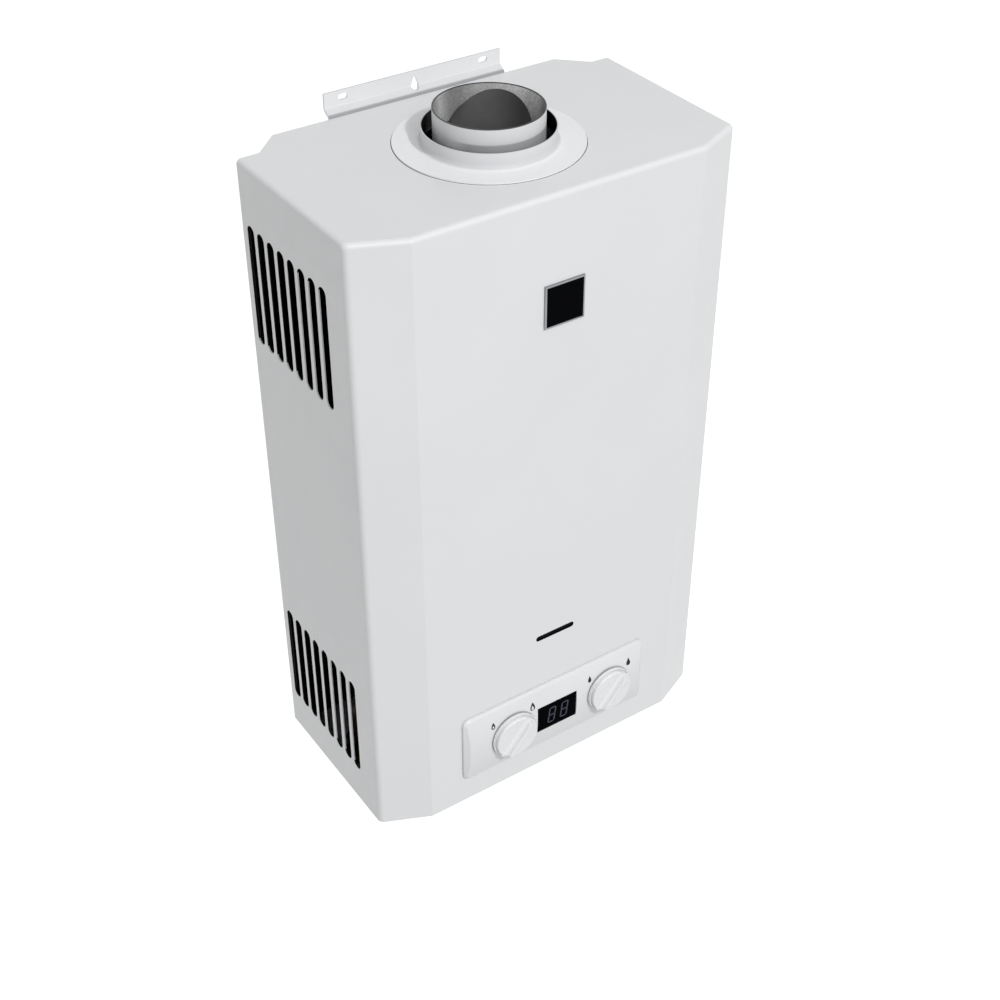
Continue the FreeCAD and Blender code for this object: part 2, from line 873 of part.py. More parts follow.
def make_floor_plate():
    """Bottom plate of the frame, with the connections, the battery box and rows of air slots."""
    body = new_body("floor_plate")
    rear = -(d.back_lip + d.sheet_gap)
    plan = polygon(new_sketch(body, "XY_Plane", d.cover_gauge),
                   casing_plan(d.cover_gauge + d.sheet_gap, rear))
    pad(body, plan, d.floor_gauge)
    front_line = front_face + d.cover_gauge + d.sheet_gap
    fillet(body, lambda b: near(b.ZLength, d.floor_gauge) and near(b.YMin, front_line), d.front_bend_radius)
    fillet(body, lambda b: near(b.ZLength, d.floor_gauge) and front_line.value + 1 < b.YMin < rear.value - 1,
           d.corner_radius)
    holes = new_sketch(body, "XY_Plane", floor_top)
    for x in (-hot_x, -d.gas_offset, d.water_offset):
        circle(holes, x, port_y, d.thread_radius + d.pin_fit)
    circle(holes, d.drain_offset, port_y, d.drain_radius + d.port_gap)
    rectangle(holes, *box_plan(d.door_play))
    for x, y in cover_screw_points():
        circle(holes, x, y, d.cover_screw_radius + d.pin_fit)
    pocket(body, holes, d.floor_gauge * 2)
    vents = new_sketch(body, "XY_Plane", floor_top)
    radius = d.vent_width / 2
    run = d.vent_length / 2 - radius
    for setback in (d.vent_setback, d.vent_front_setback):
        x = -d.vent_pitch * (d.vent_count - 1) / 2
        slot(vents, x, -setback - run, radius, x, -setback + run, radius)
    first = pocket(body, vents, d.floor_gauge * 2)
    repeat(body, first, vents, "H_Axis", d.vent_pitch * (d.vent_count - 1), d.vent_count)
    return keep(body)


def joggled_bracket(label, length, leg_end, step, tip, up):
    """A strip of sheet joggled from the back of the casing to the wall, above or below it."""
    body = new_body(label)
    gauge = d.bracket_gauge
    near_y = d.back_depth
    wall_y = d.wall_gap - gauge
    reach = wall_y - near_y
    shift = gauge * (hypot(reach, d.bracket_joggle) - d.bracket_joggle) / reach
    section = [(near_y, leg_end), (near_y, step), (wall_y, step + up * d.bracket_joggle), (wall_y, tip),
               (wall_y + gauge, tip), (wall_y + gauge, step + up * (d.bracket_joggle - shift)),
               (near_y + gauge, step - up * shift), (near_y + gauge, leg_end)]
    pad(body, polygon(new_sketch(body, "YZ_Plane"), section), length, both=True)
    for inside, radius in ((True, d.bracket_bend_radius), (False, d.bracket_bend_radius + gauge)):
        picks = [section[6], section[2]] if inside else [section[1], section[5]]
        fillet(body, lambda b: b.XLength > 1 and any(near(b.YMin, y) and near(b.ZMin, z) for y, z in picks),
               radius)
    return body


def bracket_slots(body, spacing, z):
    holes = new_sketch(body, "XZ_Plane")
    radius = d.bracket_slot_width / 2
    run = d.bracket_slot_length / 2 - radius
    for side in (-1, 1):
        x = side * spacing / 2
        slot(holes, x - run, z, radius, x + run, z, radius)
    pocket(body, holes, both=True)


def bracket_rivet_holes(body, points):
    holes = new_sketch(body, "XZ_Plane")
    for x, z in points:
        circle(holes, x, z, d.rivet_radius + d.pin_fit)
    pocket(body, holes, both=True)


def make_upper_bracket():
    body = joggled_bracket("upper_bracket", d.bracket_length, d.casing_height - d.bracket_leg,
                           d.casing_height + d.bracket_lift, slot_height + d.bracket_edge_margin, 1)
    bracket_slots(body, d.bracket_slot_spacing, slot_height)
    eye = slot_height - d.keyhole_drop
    wide = circle(new_sketch(body, "XZ_Plane"), as_size(0), eye, d.keyhole_radius)
    pocket(body, wide, both=True)
    neck = new_sketch(body, "XZ_Plane")
    slot(neck, as_size(0), eye, d.keyhole_radius * 0.9, as_size(0), eye + d.keyhole_rise,
         d.keyhole_neck_radius)
    pocket(body, neck, both=True)
    bracket_rivet_holes(body, rivet_points()[:4])
    return keep(body)


def make_lower_bracket():
    body = joggled_bracket("lower_bracket", d.foot_length, d.bracket_leg, -d.bracket_lift,
                           -(d.foot_slot_drop + d.bracket_edge_margin), -1)
    bracket_slots(body, d.foot_slot_spacing, -d.foot_slot_drop)
    bracket_rivet_holes(body, rivet_points()[4:])
    return keep(body)


def make_bracket_rivets():
    """Rivets with a head on each side of the two sheets."""
    grip = d.back_gauge + d.bracket_gauge
    steps = ((d.rivet_head, d.rivet_head_radius), (grip, d.rivet_radius), (d.rivet_head, d.rivet_head_radius))
    start = d.back_depth - d.back_gauge - d.rivet_head
    return keep(formed("bracket_rivets", [turned_pin(steps, x, start, z, "+Y") for x, z in rivet_points()]))


def make_flue_pipe():
    """Thin flue pipe, drawn about its own axis from the top of the casing, turned to set its damper."""
    body = new_body("flue_pipe")
    low = d.flue_rise - d.flue_length
    wall = rectangle(new_sketch(body, "XZ_Plane"), d.flue_radius - d.flue_gauge, low, d.flue_radius,
                     d.flue_rise)
    revolve(body, wall, "V_Axis")
    axle = circle(new_sketch(body, "XZ_Plane"), as_size(0), d.damper_rise, d.axle_radius + d.pin_fit)
    pocket(body, axle, both=True)
    return keep(body, as_size(0), flue_y, d.casing_height, Rotation(Vector(0, 0, 1), d.damper_turn.value))


def make_flue_collar():
    """Spun ring on the top panel: a flat flange that sweeps up into a short collar."""
    body = new_body("flue_collar")
    inner = d.collar_radius - d.collar_gauge
    section = [(inner, as_size(0)), (d.collar_flange_radius, as_size(0)),
               (d.collar_flange_radius, d.collar_gauge),
               (d.collar_radius, d.collar_gauge), (d.collar_radius, d.collar_rise), (inner, d.collar_rise)]
    revolve(body, polygon(new_sketch(body, "XZ_Plane"), section), "V_Axis")
    root = d.collar_radius.value * 2
    fillet(body, lambda b: near(b.ZMin, d.collar_gauge) and near(b.ZMax, d.collar_gauge)
           and near(b.XLength, root),
           d.collar_root_radius)
    return keep(body, as_size(0), flue_y, d.casing_height)


def damper_turn_of(tilt):
    """Turn of the damper: tilted about its axle first, then swung round with the flue pipe."""
    return Rotation(Vector(0, 0, 1), d.damper_turn.value) * Rotation(Vector(0, -1, 0), tilt)


def make_damper():
    """Back-draught flap on an axle through the flue pipe; the flap lies on top of its axle."""
    flap = new_body("damper_flap")
    disc = circle(new_sketch(flap, "XY_Plane", d.axle_radius), as_size(0), as_size(0), d.damper_radius)
    pad(flap, disc, d.damper_gauge)
    axle = new_body("damper_axle")
    end = d.flue_radius - d.pin_fit * 2
    outer = d.flue_radius - d.flue_gauge - d.sheet_gap
    inner = outer - d.axle_head
    wide = d.axle_head_radius
    thin = d.axle_radius
    section = [(as_size(0), -end), (thin, -end), (thin, -outer), (wide, -outer), (wide, -inner),
               (thin, -inner),
               (thin, inner), (wide, inner), (wide, outer), (thin, outer), (thin, end), (as_size(0), end)]
    revolve(axle, polygon(new_sketch(axle, "XY_Plane"), section), "V_Axis")
    for body in (flap, axle):
        keep(body, as_size(0), flue_y, d.casing_height + d.damper_rise, damper_turn_of(d.damper_tilt.value))


def make_control_panel():
    """Moulded front panel: an arched face with bevelled edges, a window, two holes and hooks."""
    body = new_body("control_panel")
    half = d.panel_width / 2
    face = rounded(new_sketch(body, "XZ_Plane", d.casing_depth), -half, panel_low, half, panel_high,
                   d.panel_corner_radius)
    pad(body, face, d.panel_depth)
    chamfer(body, lambda b: near(b.YMin, panel_face) and near(b.YMax, panel_face), d.panel_bevel)
    tall = d.panel_height / 2
    arch = (tall * tall + d.panel_crown * d.panel_crown) / (d.panel_crown * 2)
    beyond = arch + d.panel_depth
    outside = new_sketch(body, "YZ_Plane")
    circle(outside, panel_face + arch, panel_centre, arch)
    rectangle(outside, panel_face + arch - beyond, panel_centre - beyond,
              panel_face + arch + beyond, panel_centre + beyond)
    pocket(body, outside, both=True)
    fillet(body, lambda b: b.YMax < (front_face - d.panel_bevel / 2).value - 0.3 and b.DiagonalLength > 1,
           d.panel_edge_radius)

    rim = d.panel_rim
    deep = d.panel_depth - d.panel_wall
    shallow = deep - d.panel_crown + d.panel_wall / 2
    band = d.window_height / 2 + d.lens_rim + d.lens_fit
    for edge, low, high, depth in ((half - rim, panel_low + rim, panel_high - rim, shallow),
                                   (half - rim * 2, d.panel_middle - band, d.panel_middle + band, deep)):
        hollow = new_sketch(body, "XZ_Plane", d.casing_depth)
        rectangle(hollow, -edge, low, edge, high)
        pocket(body, hollow, depth, back=True)

    openings = new_sketch(body, "XZ_Plane", d.casing_depth + d.panel_depth)
    rectangle(openings, -d.window_width / 2, d.panel_middle - d.window_height / 2,
              d.window_width / 2, d.panel_middle + d.window_height / 2)
    for x in (left_knob_x, right_knob_x):
        circle(openings, x, d.panel_middle, d.spindle_hole_radius)
    pocket(body, openings, d.panel_depth * 2)

    posts = new_sketch(body, "XZ_Plane", d.casing_depth + d.panel_depth - d.panel_wall)
    for side in (-1, 1):
        for end in (-1, 1):
            circle(posts, side * (d.board_width / 2 - d.post_inset),
                   d.panel_middle + end * (d.board_height / 2 - d.post_inset), d.post_radius)
    pad(body, posts, board_front() - (panel_face + d.panel_wall), back=True)

    inner = d.cover_gauge + d.sheet_gap
    start = panel_face + d.panel_crown
    for x in (-d.hook_spread / 2, as_size(0), d.hook_spread / 2):
        for edge, out in ((bay_low, -1), (bay_high, 1)):
            hook = new_sketch(body, "YZ_Plane", x)
            root = edge - out * (d.sheet_gap + d.hook_gauge)
            flank = edge - out * d.sheet_gap
            polygon(hook, [(start, root), (front_face + d.hook_length, root),
                           (front_face + d.hook_length, flank),
                           (front_face + inner, flank + out * d.hook_catch),
                           (front_face + inner, flank), (start, flank)])
            pad(body, hook, d.hook_width, both=True)
    return keep(body)


def board_front():
    """Front face of the display board, behind the lens and its digits."""
    return panel_face + d.lens_recess + d.lens_gauge + d.sheet_gap + d.digits_depth


def make_display():
    """Smoked lens seated in the panel from behind, the digit block and its circuit board."""
    lens = new_body("display_lens")
    wide = d.window_width / 2 - d.lens_fit
    tall = d.window_height / 2 - d.lens_fit
    pane = rectangle(new_sketch(lens, "XZ_Plane", -(panel_face + d.lens_recess)), -wide,
                     d.panel_middle - tall,
                     wide, d.panel_middle + tall)
    pad(lens, pane, d.panel_wall - d.lens_recess, back=True)
    wide = wide + d.lens_rim
    tall = tall + d.lens_rim
    rim = rectangle(new_sketch(lens, "XZ_Plane", -(panel_face + d.panel_wall)), -wide, d.panel_middle - tall,
                    wide, d.panel_middle + tall)
    pad(lens, rim, d.lens_gauge - (d.panel_wall - d.lens_recess), back=True)
    keep(lens)

    front = board_front()
    board = block("board", -d.board_width / 2, front, d.panel_middle - d.board_height / 2,
                  d.board_width / 2, front + d.board_gauge, d.panel_middle + d.board_height / 2)
    digits = block("digits", -d.digits_width / 2, front - d.digits_depth,
                   d.panel_middle - d.digits_height / 2,
                   d.digits_width / 2, front, d.panel_middle + d.digits_height / 2)
    keep(join("display_board", [board, digits]))


def grip_section():
    """Section across the bar of a knob: hollow curves at its foot and rounded edges at its crest."""
    flank = d.grip_width / 2
    steps = 4
    foot = []
    crest = []
    for i in range(steps + 1):
        angle = math.radians(RIGHT_ANGLE * i / steps)
        foot.append((-(d.cap_rise + d.grip_foot_radius * (1 - math.cos(angle))),
                     flank + d.grip_foot_radius * (1 - math.sin(angle))))
        crest.append((-(d.grip_rise - d.grip_crest_radius * (1 - math.sin(angle))),
                      flank - d.grip_crest_radius * (1 - math.cos(angle))))
    sunk = (-(d.cap_rise - d.knob_wall / 2), flank + d.grip_foot_radius)
    side = [sunk] + foot + crest
    return side + [(y, -z) for y, z in reversed(side)]


def make_knob(label, x):
    """Round knob: skirt, groove and cap with a bar across it, hollow behind, with a hub on its spindle."""
    body = new_body(label)
    base = d.knob_gap
    edge = base + d.skirt_edge
    ledge = (d.skirt_radius + d.cap_radius) / 2
    section = [(as_size(0), -base), (d.skirt_radius, -base), (d.skirt_radius, -edge), (ledge, -edge),
               (ledge, d.groove_depth - edge), (d.cap_radius, d.groove_depth - edge),
               (d.cap_radius, -d.cap_rise), (as_size(0), -d.cap_rise)]
    revolve(body, polygon(new_sketch(body, "XY_Plane"), section), "V_Axis")
    fillet(body, lambda b: near(b.YMin, -d.cap_rise) and b.XLength > 1, d.cap_edge_radius)

    pad(body, polygon(new_sketch(body, "YZ_Plane"), grip_section()), d.cap_radius * 2, both=True)
    tip = d.cap_radius - d.cap_edge_radius
    beyond = d.cap_radius + d.knob_wall
    ends = polygon(new_sketch(body, "XY_Plane"), [(tip, -d.cap_rise), (beyond, -d.cap_rise),
                                                  (beyond, -d.grip_rise - 1),
                                                  (tip - d.grip_end_slope, -d.grip_rise - 1)])
    revolve(body, ends, "V_Axis", "Groove")

    hollow = d.cap_radius - d.knob_wall
    depth = d.cap_rise - d.knob_wall
    ring = polygon(new_sketch(body, "XY_Plane"), [(d.hub_radius, as_size(0)), (hollow, as_size(0)),
                                                  (hollow, -depth), (d.hub_radius, -depth)])
    revolve(body, ring, "V_Axis", "Groove")
    hub = circle(new_sketch(body, "XZ_Plane", base), as_size(0), as_size(0), d.hub_radius)
    pad(body, hub, base + d.hub_depth, back=True)
    bore = circle(new_sketch(body, "XZ_Plane", -d.hub_depth), as_size(0), as_size(0),
                  d.spindle_radius + d.spindle_fit)
    pocket(body, bore, d.hub_depth + d.spindle_reach, back=True)
    turn = Rotation(Vector(0, -1, 0), d.grip_angle.value)
    return keep(body, x, panel_face, d.panel_middle, turn)


def make_spindle(label, x, front):
    """Valve spindle: a rod from the boss on the valve to the knob, with a flat for the hub."""
    inner = front + d.spindle_inset
    outer = panel_face - d.spindle_reach + d.spindle_fit
    bar = rod(label + "_bar", "-Y", x, inner, d.panel_middle, d.spindle_radius, inner - outer)
    flat = block(label + "_flat", x - d.spindle_radius, outer, d.panel_middle + d.spindle_flat,
                 x + d.spindle_radius, outer + d.hub_depth, d.panel_middle + d.spindle_radius + 1)
    return keep(cut(label, bar, [flat]))


def make_badge():
    """Blank badge: a square frame with a raised border round a dark plate."""
    frame = new_body("badge_frame")
    half = d.badge_size / 2
    low, high = d.badge_height - half, d.badge_height + half
    pad(frame, rectangle(new_sketch(frame, "XZ_Plane", d.casing_depth), -half, low, half, high),
        d.badge_depth)
    rim = front_face - d.badge_depth
    fillet(frame, lambda b: near(b.YMin, rim) and near(b.YMax, rim), d.badge_edge_radius)
    inset = d.badge_border
    well = new_sketch(frame, "XZ_Plane", d.casing_depth + d.badge_depth)
    rectangle(well, -half + inset, low + inset, half - inset, high - inset)
    pocket(frame, well, d.badge_recess)
    keep(frame)
    inset = inset + d.lens_fit
    floor = rim + d.badge_recess
    keep(block("badge_plate", -half + inset, floor - d.badge_plate_gauge, low + inset,
               half - inset, floor, high - inset))


def make_sight_pane():
    """Glass behind the viewing slot, in a folded clip on the inside of the front."""
    inside = front_face + d.cover_gauge
    low = d.view_height - d.pane_height / 2
    high = d.view_height + d.pane_height / 2
    keep(block("sight_glass", -d.pane_length / 2, inside, low, d.pane_length / 2, inside + d.pane_gauge,
               high))
    rear = inside + d.pane_gauge
    gap = d.pane_fit
    outer = block("clip_outer", -d.pane_length / 2 - d.clip_margin, inside, low - d.clip_margin,
                  d.pane_length / 2 + d.clip_margin, rear + gap + d.clip_gauge, high + d.clip_margin)
    seat = block("clip_seat", -d.pane_length / 2 - gap, inside - 1, low - gap,
                 d.pane_length / 2 + gap, rear + gap, high + gap)
    window = block("clip_window", -d.view_length / 2, inside, d.view_height - d.view_width,
                   d.view_length / 2, rear + d.clip_margin, d.view_height + d.view_width)
    keep(cut("sight_clip", outer, [seat, window]))


# Burner, combustion chamber, heat exchanger and hood, stacked on one upright axis

chamber_base = d.burner_base + d.burner_height
core_base = chamber_base + d.chamber_height
core_top = core_base + d.core_height
tube_height = core_base + d.core_height / 2
hood_top = core_top + d.hood_skirt + d.hood_cone
neck_top = d.casing_height + d.flue_rise - d.flue_length + d.neck_overlap
neck_radius = d.flue_radius - d.flue_gauge - d.flue_fit
core_x = d.core_width / 2
core_front = flue_y - d.core_depth / 2
core_rear = flue_y + d.core_depth / 2
blade_base = d.burner_base + d.burner_gauge
blade_top = blade_base + d.blade_height
throat_z = blade_base + d.throat_height
manifold_rear = core_front - d.nozzle_reach
tray_inside = d.back_depth - d.back_gauge


def boxed(body, half_x, front, rear, low, high):
    """A plain upright block of a body, between two heights."""
    outline = rectangle(new_sketch(body, "XY_Plane", low), -half_x, front, half_x, rear)
    return pad(body, outline, high - low)


def flanged_duct(body, base, height, corner=None):
    """A duct with a flange at each end, ready to be joined to the next one."""
    wide = d.joint_flange
    outer = core_x + wide
    for low in (base, base + height - d.core_gauge):
        boxed(body, outer, core_front - wide, core_rear + wide, low, low + d.core_gauge)
        if near(low, base):
            wall = new_sketch(body, "XY_Plane", base)
            inside = new_sketch(body, "XY_Plane", base + height)
            if corner is None:
                rectangle(wall, -core_x, core_front, core_x, core_rear)
            else:
                rounded(wall, -core_x, core_front, core_x, core_rear, corner)
            pad(body, wall, height)
    gauge = d.core_gauge
    if corner is None:
        rectangle(inside, gauge - core_x, core_front + gauge, core_x - gauge, core_rear - gauge)
    else:
        rounded(inside, gauge - core_x, core_front + gauge, core_x - gauge, core_rear - gauge, corner - gauge)
    pocket(body, inside, height * 2)


def make_combustion_chamber():
    """Copper duct over the burner, with a viewing slot and two holes for the electrodes."""
    body = new_body("combustion_chamber")
    flanged_duct(body, chamber_base, d.chamber_height, d.chamber_corner_radius)
    holes = new_sketch(body, "XZ_Plane", -core_front)
    low = chamber_base + d.sight_base
    rectangle(holes, -d.sight_length / 2, low, d.sight_length / 2, low + d.sight_height)
    for side in (-1, 1):
        circle(holes, side * d.electrode_spread / 2, chamber_base + d.electrode_rise,
               d.electrode_radius + d.pin_fit)
    pocket(body, holes, d.core_gauge * 2)
    return keep(body)


def make_fin_block():
    """Heat exchanger: a jacket crossed by fins and by three water tubes brazed through them."""
    body = new_body("fin_block")
    flanged_duct(body, core_base, d.core_height)
    inset = d.core_gauge / 2
    pitch = d.core_width / (d.fin_count + 1)
    fin = new_sketch(body, "YZ_Plane", -pitch * (d.fin_count - 1) / 2)
    rectangle(fin, core_front + inset, core_base + d.fin_margin, core_rear - inset, core_top - d.fin_margin)
    first = pad(body, fin, d.fin_gauge, both=True)
    repeat(body, first, fin, "N_Axis", pitch * (d.fin_count - 1), d.fin_count)
    reach = d.core_width + d.core_tube_stub * 2
    for cutting in (False, True):
        rings = new_sketch(body, "YZ_Plane")
        for place in (-1, 0, 1):
            circle(rings, flue_y + place * d.core_tube_spacing, tube_height,
                   d.core_tube_radius - (d.core_tube_wall if cutting else 0))
        if cutting:
            pocket(body, rings, reach * 2, both=True)
        else:
            pad(body, rings, reach, both=True)
    return keep(body)


def make_return_bends():
    """Two half-round tubes that join the three water tubes end to end."""
    bends = []
    for side, first in ((-1, 1), (1, 0)):
        x = side * (core_x + d.core_tube_stub)
        rear = flue_y + first * d.core_tube_spacing
        front = rear - d.core_tube_spacing
        tip = x + side * d.core_tube_spacing / 2
        arc = Part.Arc(vector(x, rear, tube_height), vector(tip, (rear + front) / 2, tube_height),
                       vector(x, front, tube_height))
        path = Part.Wire(arc.toShape())
        bends.append(swept(path, d.core_tube_radius, d.core_tube_wall))
    return keep(formed("return_bends", bends))


def make_draught_hood():
    """Hood over the exchanger: skirt with relief slots, sloping sides and a round neck for the flue."""
    body = new_body("draught_hood")
    half_x = core_x + d.joint_flange
    half_y = d.core_depth / 2 + d.joint_flange
    skirt_top = core_top + d.hood_skirt
    boxed(body, half_x, flue_y - half_y, flue_y + half_y, core_top, skirt_top)
    half = d.hood_top_width / 2
    for kind, wall in (("Additive", as_size(0)), ("Subtractive", d.hood_gauge)):
        low = rectangle(new_sketch(body, "XY_Plane", skirt_top), wall - half_x, flue_y - half_y + wall,
                        half_x - wall, flue_y + half_y - wall)
        high = rectangle(new_sketch(body, "XY_Plane", hood_top - wall), wall - half, flue_y - half + wall,
                         half - wall, flue_y + half - wall)
        add_feature(body, kind + "Loft", Profile=low, Sections=[high], Ruled=True)
    wall = d.hood_gauge
    well = rectangle(new_sketch(body, "XY_Plane", core_top), wall - half_x, flue_y - half_y + wall,
                     half_x - wall, flue_y + half_y - wall)
    pocket(body, well, d.hood_skirt, back=True)
    neck = circle(new_sketch(body, "XY_Plane", hood_top - d.hood_gauge), as_size(0), flue_y, neck_radius)
    pad(body, neck, neck_top - hood_top + d.hood_gauge)
    bore = circle(new_sketch(body, "XY_Plane", neck_top), as_size(0), flue_y, neck_radius - d.hood_gauge)
    pocket(body, bore, neck_top - hood_top + d.hood_gauge * 2)
    relief = new_sketch(body, "XZ_Plane")
    middle = core_top + d.hood_skirt / 2
    run = d.diverter_length / 2 - d.diverter_height / 2
    radius = d.diverter_height / 2
    slot(relief, -run, middle, radius, run, middle, radius)
    pocket(body, relief, both=True)
    return keep(body)


def make_burner_frame():
    """Box round the burner blades: a ledge below them and a hole for each throat in front."""
    body = new_body("burner_frame")
    wide = d.joint_flange
    top = chamber_base
    gauge = d.burner_gauge
    boxed(body, core_x, core_front, core_rear, d.burner_base, top)
    boxed(body, core_x + wide, core_front - wide, core_rear + wide, top - gauge, top)
    well = rectangle(new_sketch(body, "XY_Plane", top), gauge - core_x, core_front + gauge,
                     core_x - gauge, core_rear - gauge)
    pocket(body, well, d.burner_height - gauge)
    ledge = d.burner_lip
    under = rectangle(new_sketch(body, "XY_Plane", top), ledge - core_x, core_front + ledge,
                      core_x - ledge, core_rear - ledge)
    pocket(body, under, d.burner_height * 2)
    mouth = new_sketch(body, "XZ_Plane", -core_front)
    start = -d.blade_pitch * (d.blade_count - 1) / 2
    circle(mouth, start, throat_z, d.throat_radius + d.throat_gap)
    first = pocket(body, mouth, gauge * 2)
    repeat(body, first, mouth, "H_Axis", d.blade_pitch * (d.blade_count - 1), d.blade_count)
    return keep(body)


def blade_places():
    count = int(d.blade_count.value)
    return [d.blade_pitch * (i - (count - 1) / 2) for i in range(count)]


def make_burner_blades():
    """Thin folded burners side by side: flame ports across the top and a gas throat in front."""
    rear = core_rear - d.burner_gauge - d.blade_play
    front = core_front + d.burner_gauge + d.blade_play
    wide = d.blade_width.value / 2
    waist = wide * 0.55
    low = blade_base.value
    high = blade_top.value
    swell = (throat_z - blade_base).value * 2
    section = [(-wide, low), (wide, low), (wide, low + swell), (waist, low + swell + wide),
               (waist, high - 2 * wide), (wide, high - wide), (wide, high), (-wide, high),
               (-wide, high - wide), (-waist, high - 2 * wide),
               (-waist, low + swell + wide), (-wide, low + swell)]
    outline = [Vector(x, front.value, z) for x, z in section]
    blade = Part.Face(Part.makePolygon(outline + [outline[0]])).extrude(Vector(0, (rear - front).value, 0))
    mouth = core_front - d.throat_reach
    throat = Part.makeCylinder(d.throat_radius.value, (front - mouth).value + 1,
                               vector(0, mouth, throat_z), Vector(0, 1, 0))
    bore = Part.makeCylinder(d.throat_bore.value, (rear - mouth).value * 0.8,
                             vector(0, mouth, throat_z), Vector(0, 1, 0))
    blade = blade.fuse(throat).cut(bore)
    count = int(d.port_count.value)
    step = (rear - front).value / count
    ports = [Part.makeBox(2 * wide + 2, d.port_width.value, d.port_depth.value + 1,
                          Vector(-wide - 1, front.value + (i + 0.5) * step - d.port_width.value / 2,
                                 high - d.port_depth.value)) for i in range(count)]
    blade = blade.cut(Part.makeCompound(ports)).removeSplitter()
    blades = []
    for x in blade_places():
        copy = blade.copy()
        copy.translate(vector(x, 0, 0))
        blades.append(copy)
    return keep(formed("burner_blades", blades))


def make_gas_manifold():
    """Gas bar in front of the burners, on two feet, with a threaded seat for each nozzle."""
    low = throat_z - d.manifold_height / 2
    front = manifold_rear - d.manifold_depth
    half = d.manifold_length / 2
    wall = d.manifold_wall
    bar = block("manifold_bar", -half, front, low, half, manifold_rear, low + d.manifold_height)
    feet = [block("manifold_foot", x, manifold_rear, low, x + d.manifold_foot, core_front,
                  low + d.manifold_height)
            for x in (-half, half - d.manifold_foot)]
    hollow = block("manifold_hollow", wall - half, front + wall, low + wall, half - wall,
                   manifold_rear - wall,
                   low + d.manifold_height - wall)
    seats = [rod("nozzle_seat", "+Y", x, manifold_rear - wall * 2, throat_z, d.nozzle_radius + d.pin_fit,
                 wall * 3)
             for x in blade_places()]
    inlet = rod("manifold_inlet", "+Z", -d.gas_outlet_offset, manifold_rear - d.manifold_depth / 2, low - 1,
                d.gas_pipe_radius - d.pipe_wall, wall * 2)
    keep(cut("gas_manifold", join("manifold_body", [bar] + feet), [hollow, inlet] + seats))
    steps = ((d.nozzle_reach - d.throat_reach + d.nozzle_entry + d.manifold_wall, d.nozzle_radius),)
    nozzles = []
    for x in blade_places():
        tip = turned_pin(steps, x, manifold_rear - wall, throat_z, "+Y")
        drill = Part.makeCylinder(d.nozzle_bore.value, tip.BoundBox.YLength,
                                  vector(x, manifold_rear - wall, throat_z), Vector(0, 1, 0))
        nozzles.append(tip.cut(drill))
    keep(formed("gas_nozzles", nozzles))


def make_brackets_inside():
    """Arms on the back that carry the burner, and stays that hold the hood."""
    gauge = d.arm_gauge
    rear = tray_inside
    arms = []
    for side in (-1, 1):
        x0, x1 = sorted((side * (core_x - d.arm_inset), side * (core_x - d.arm_inset - d.arm_width)),
                        key=lambda size: size.value)
        arms.append(block("arm_plate", x0, rear - gauge, d.burner_base - d.arm_drop, x1, rear, d.burner_base))
        arms.append(block("arm_shelf", x0, core_front, d.burner_base - gauge, x1, rear, d.burner_base))
    back = core_rear + d.joint_flange
    stays = []
    for side in (-1, 1):
        x0 = side * d.stay_spread / 2 - d.arm_width / 2
        x1 = x0 + d.arm_width
        low = core_top + d.stay_rise
        high = low + d.arm_width
        stays.append(block("stay_front", x0, back, low, x1, back + gauge, high))
        stays.append(block("stay_web", x0, back, high - gauge, x1, rear, high))
        stays.append(block("stay_rear", x0, rear - gauge, low, x1, rear, high))
    keep(sets_of("inner_brackets", [arms[:2], arms[2:], stays[:3], stays[3:]]))


def sets_of(label, sets):
    """Several loose pieces under one name, each joined from its own blocks."""
    piece = doc.addObject("Part::Compound", label)
    piece.Links = [parts[0] if len(parts) == 1 else join(label + "_part", parts) for parts in sets]
    return piece


# Gas and water valves, on one level axis that runs across the appliance

gas_left = -d.gas_body_left
gas_right = -d.gas_body_right
gas_front = valve_y - d.gas_body_depth / 2
gas_low = d.valve_height - d.gas_body_height / 2
gas_high = d.valve_height + d.gas_body_height / 2
cover_left = gas_right + d.yoke_gap
diaphragm_x = cover_left + d.cover_height
flange_x = diaphragm_x + d.diaphragm_gauge
block_x = flange_x + d.water_flange
block_end = block_x + d.water_body_length
water_front = valve_y - d.water_body_depth / 2
water_rear = valve_y + d.water_body_depth / 2
water_low = d.valve_height - d.water_body_height / 2
seat_x = gas_right - d.seat_inset
axis_z = d.valve_height


def across(label, x0, x1, radius):
    """A rod along the valves' own axis."""
    return rod(label, "+X", x0, valve_y, axis_z, radius, x1 - x0)


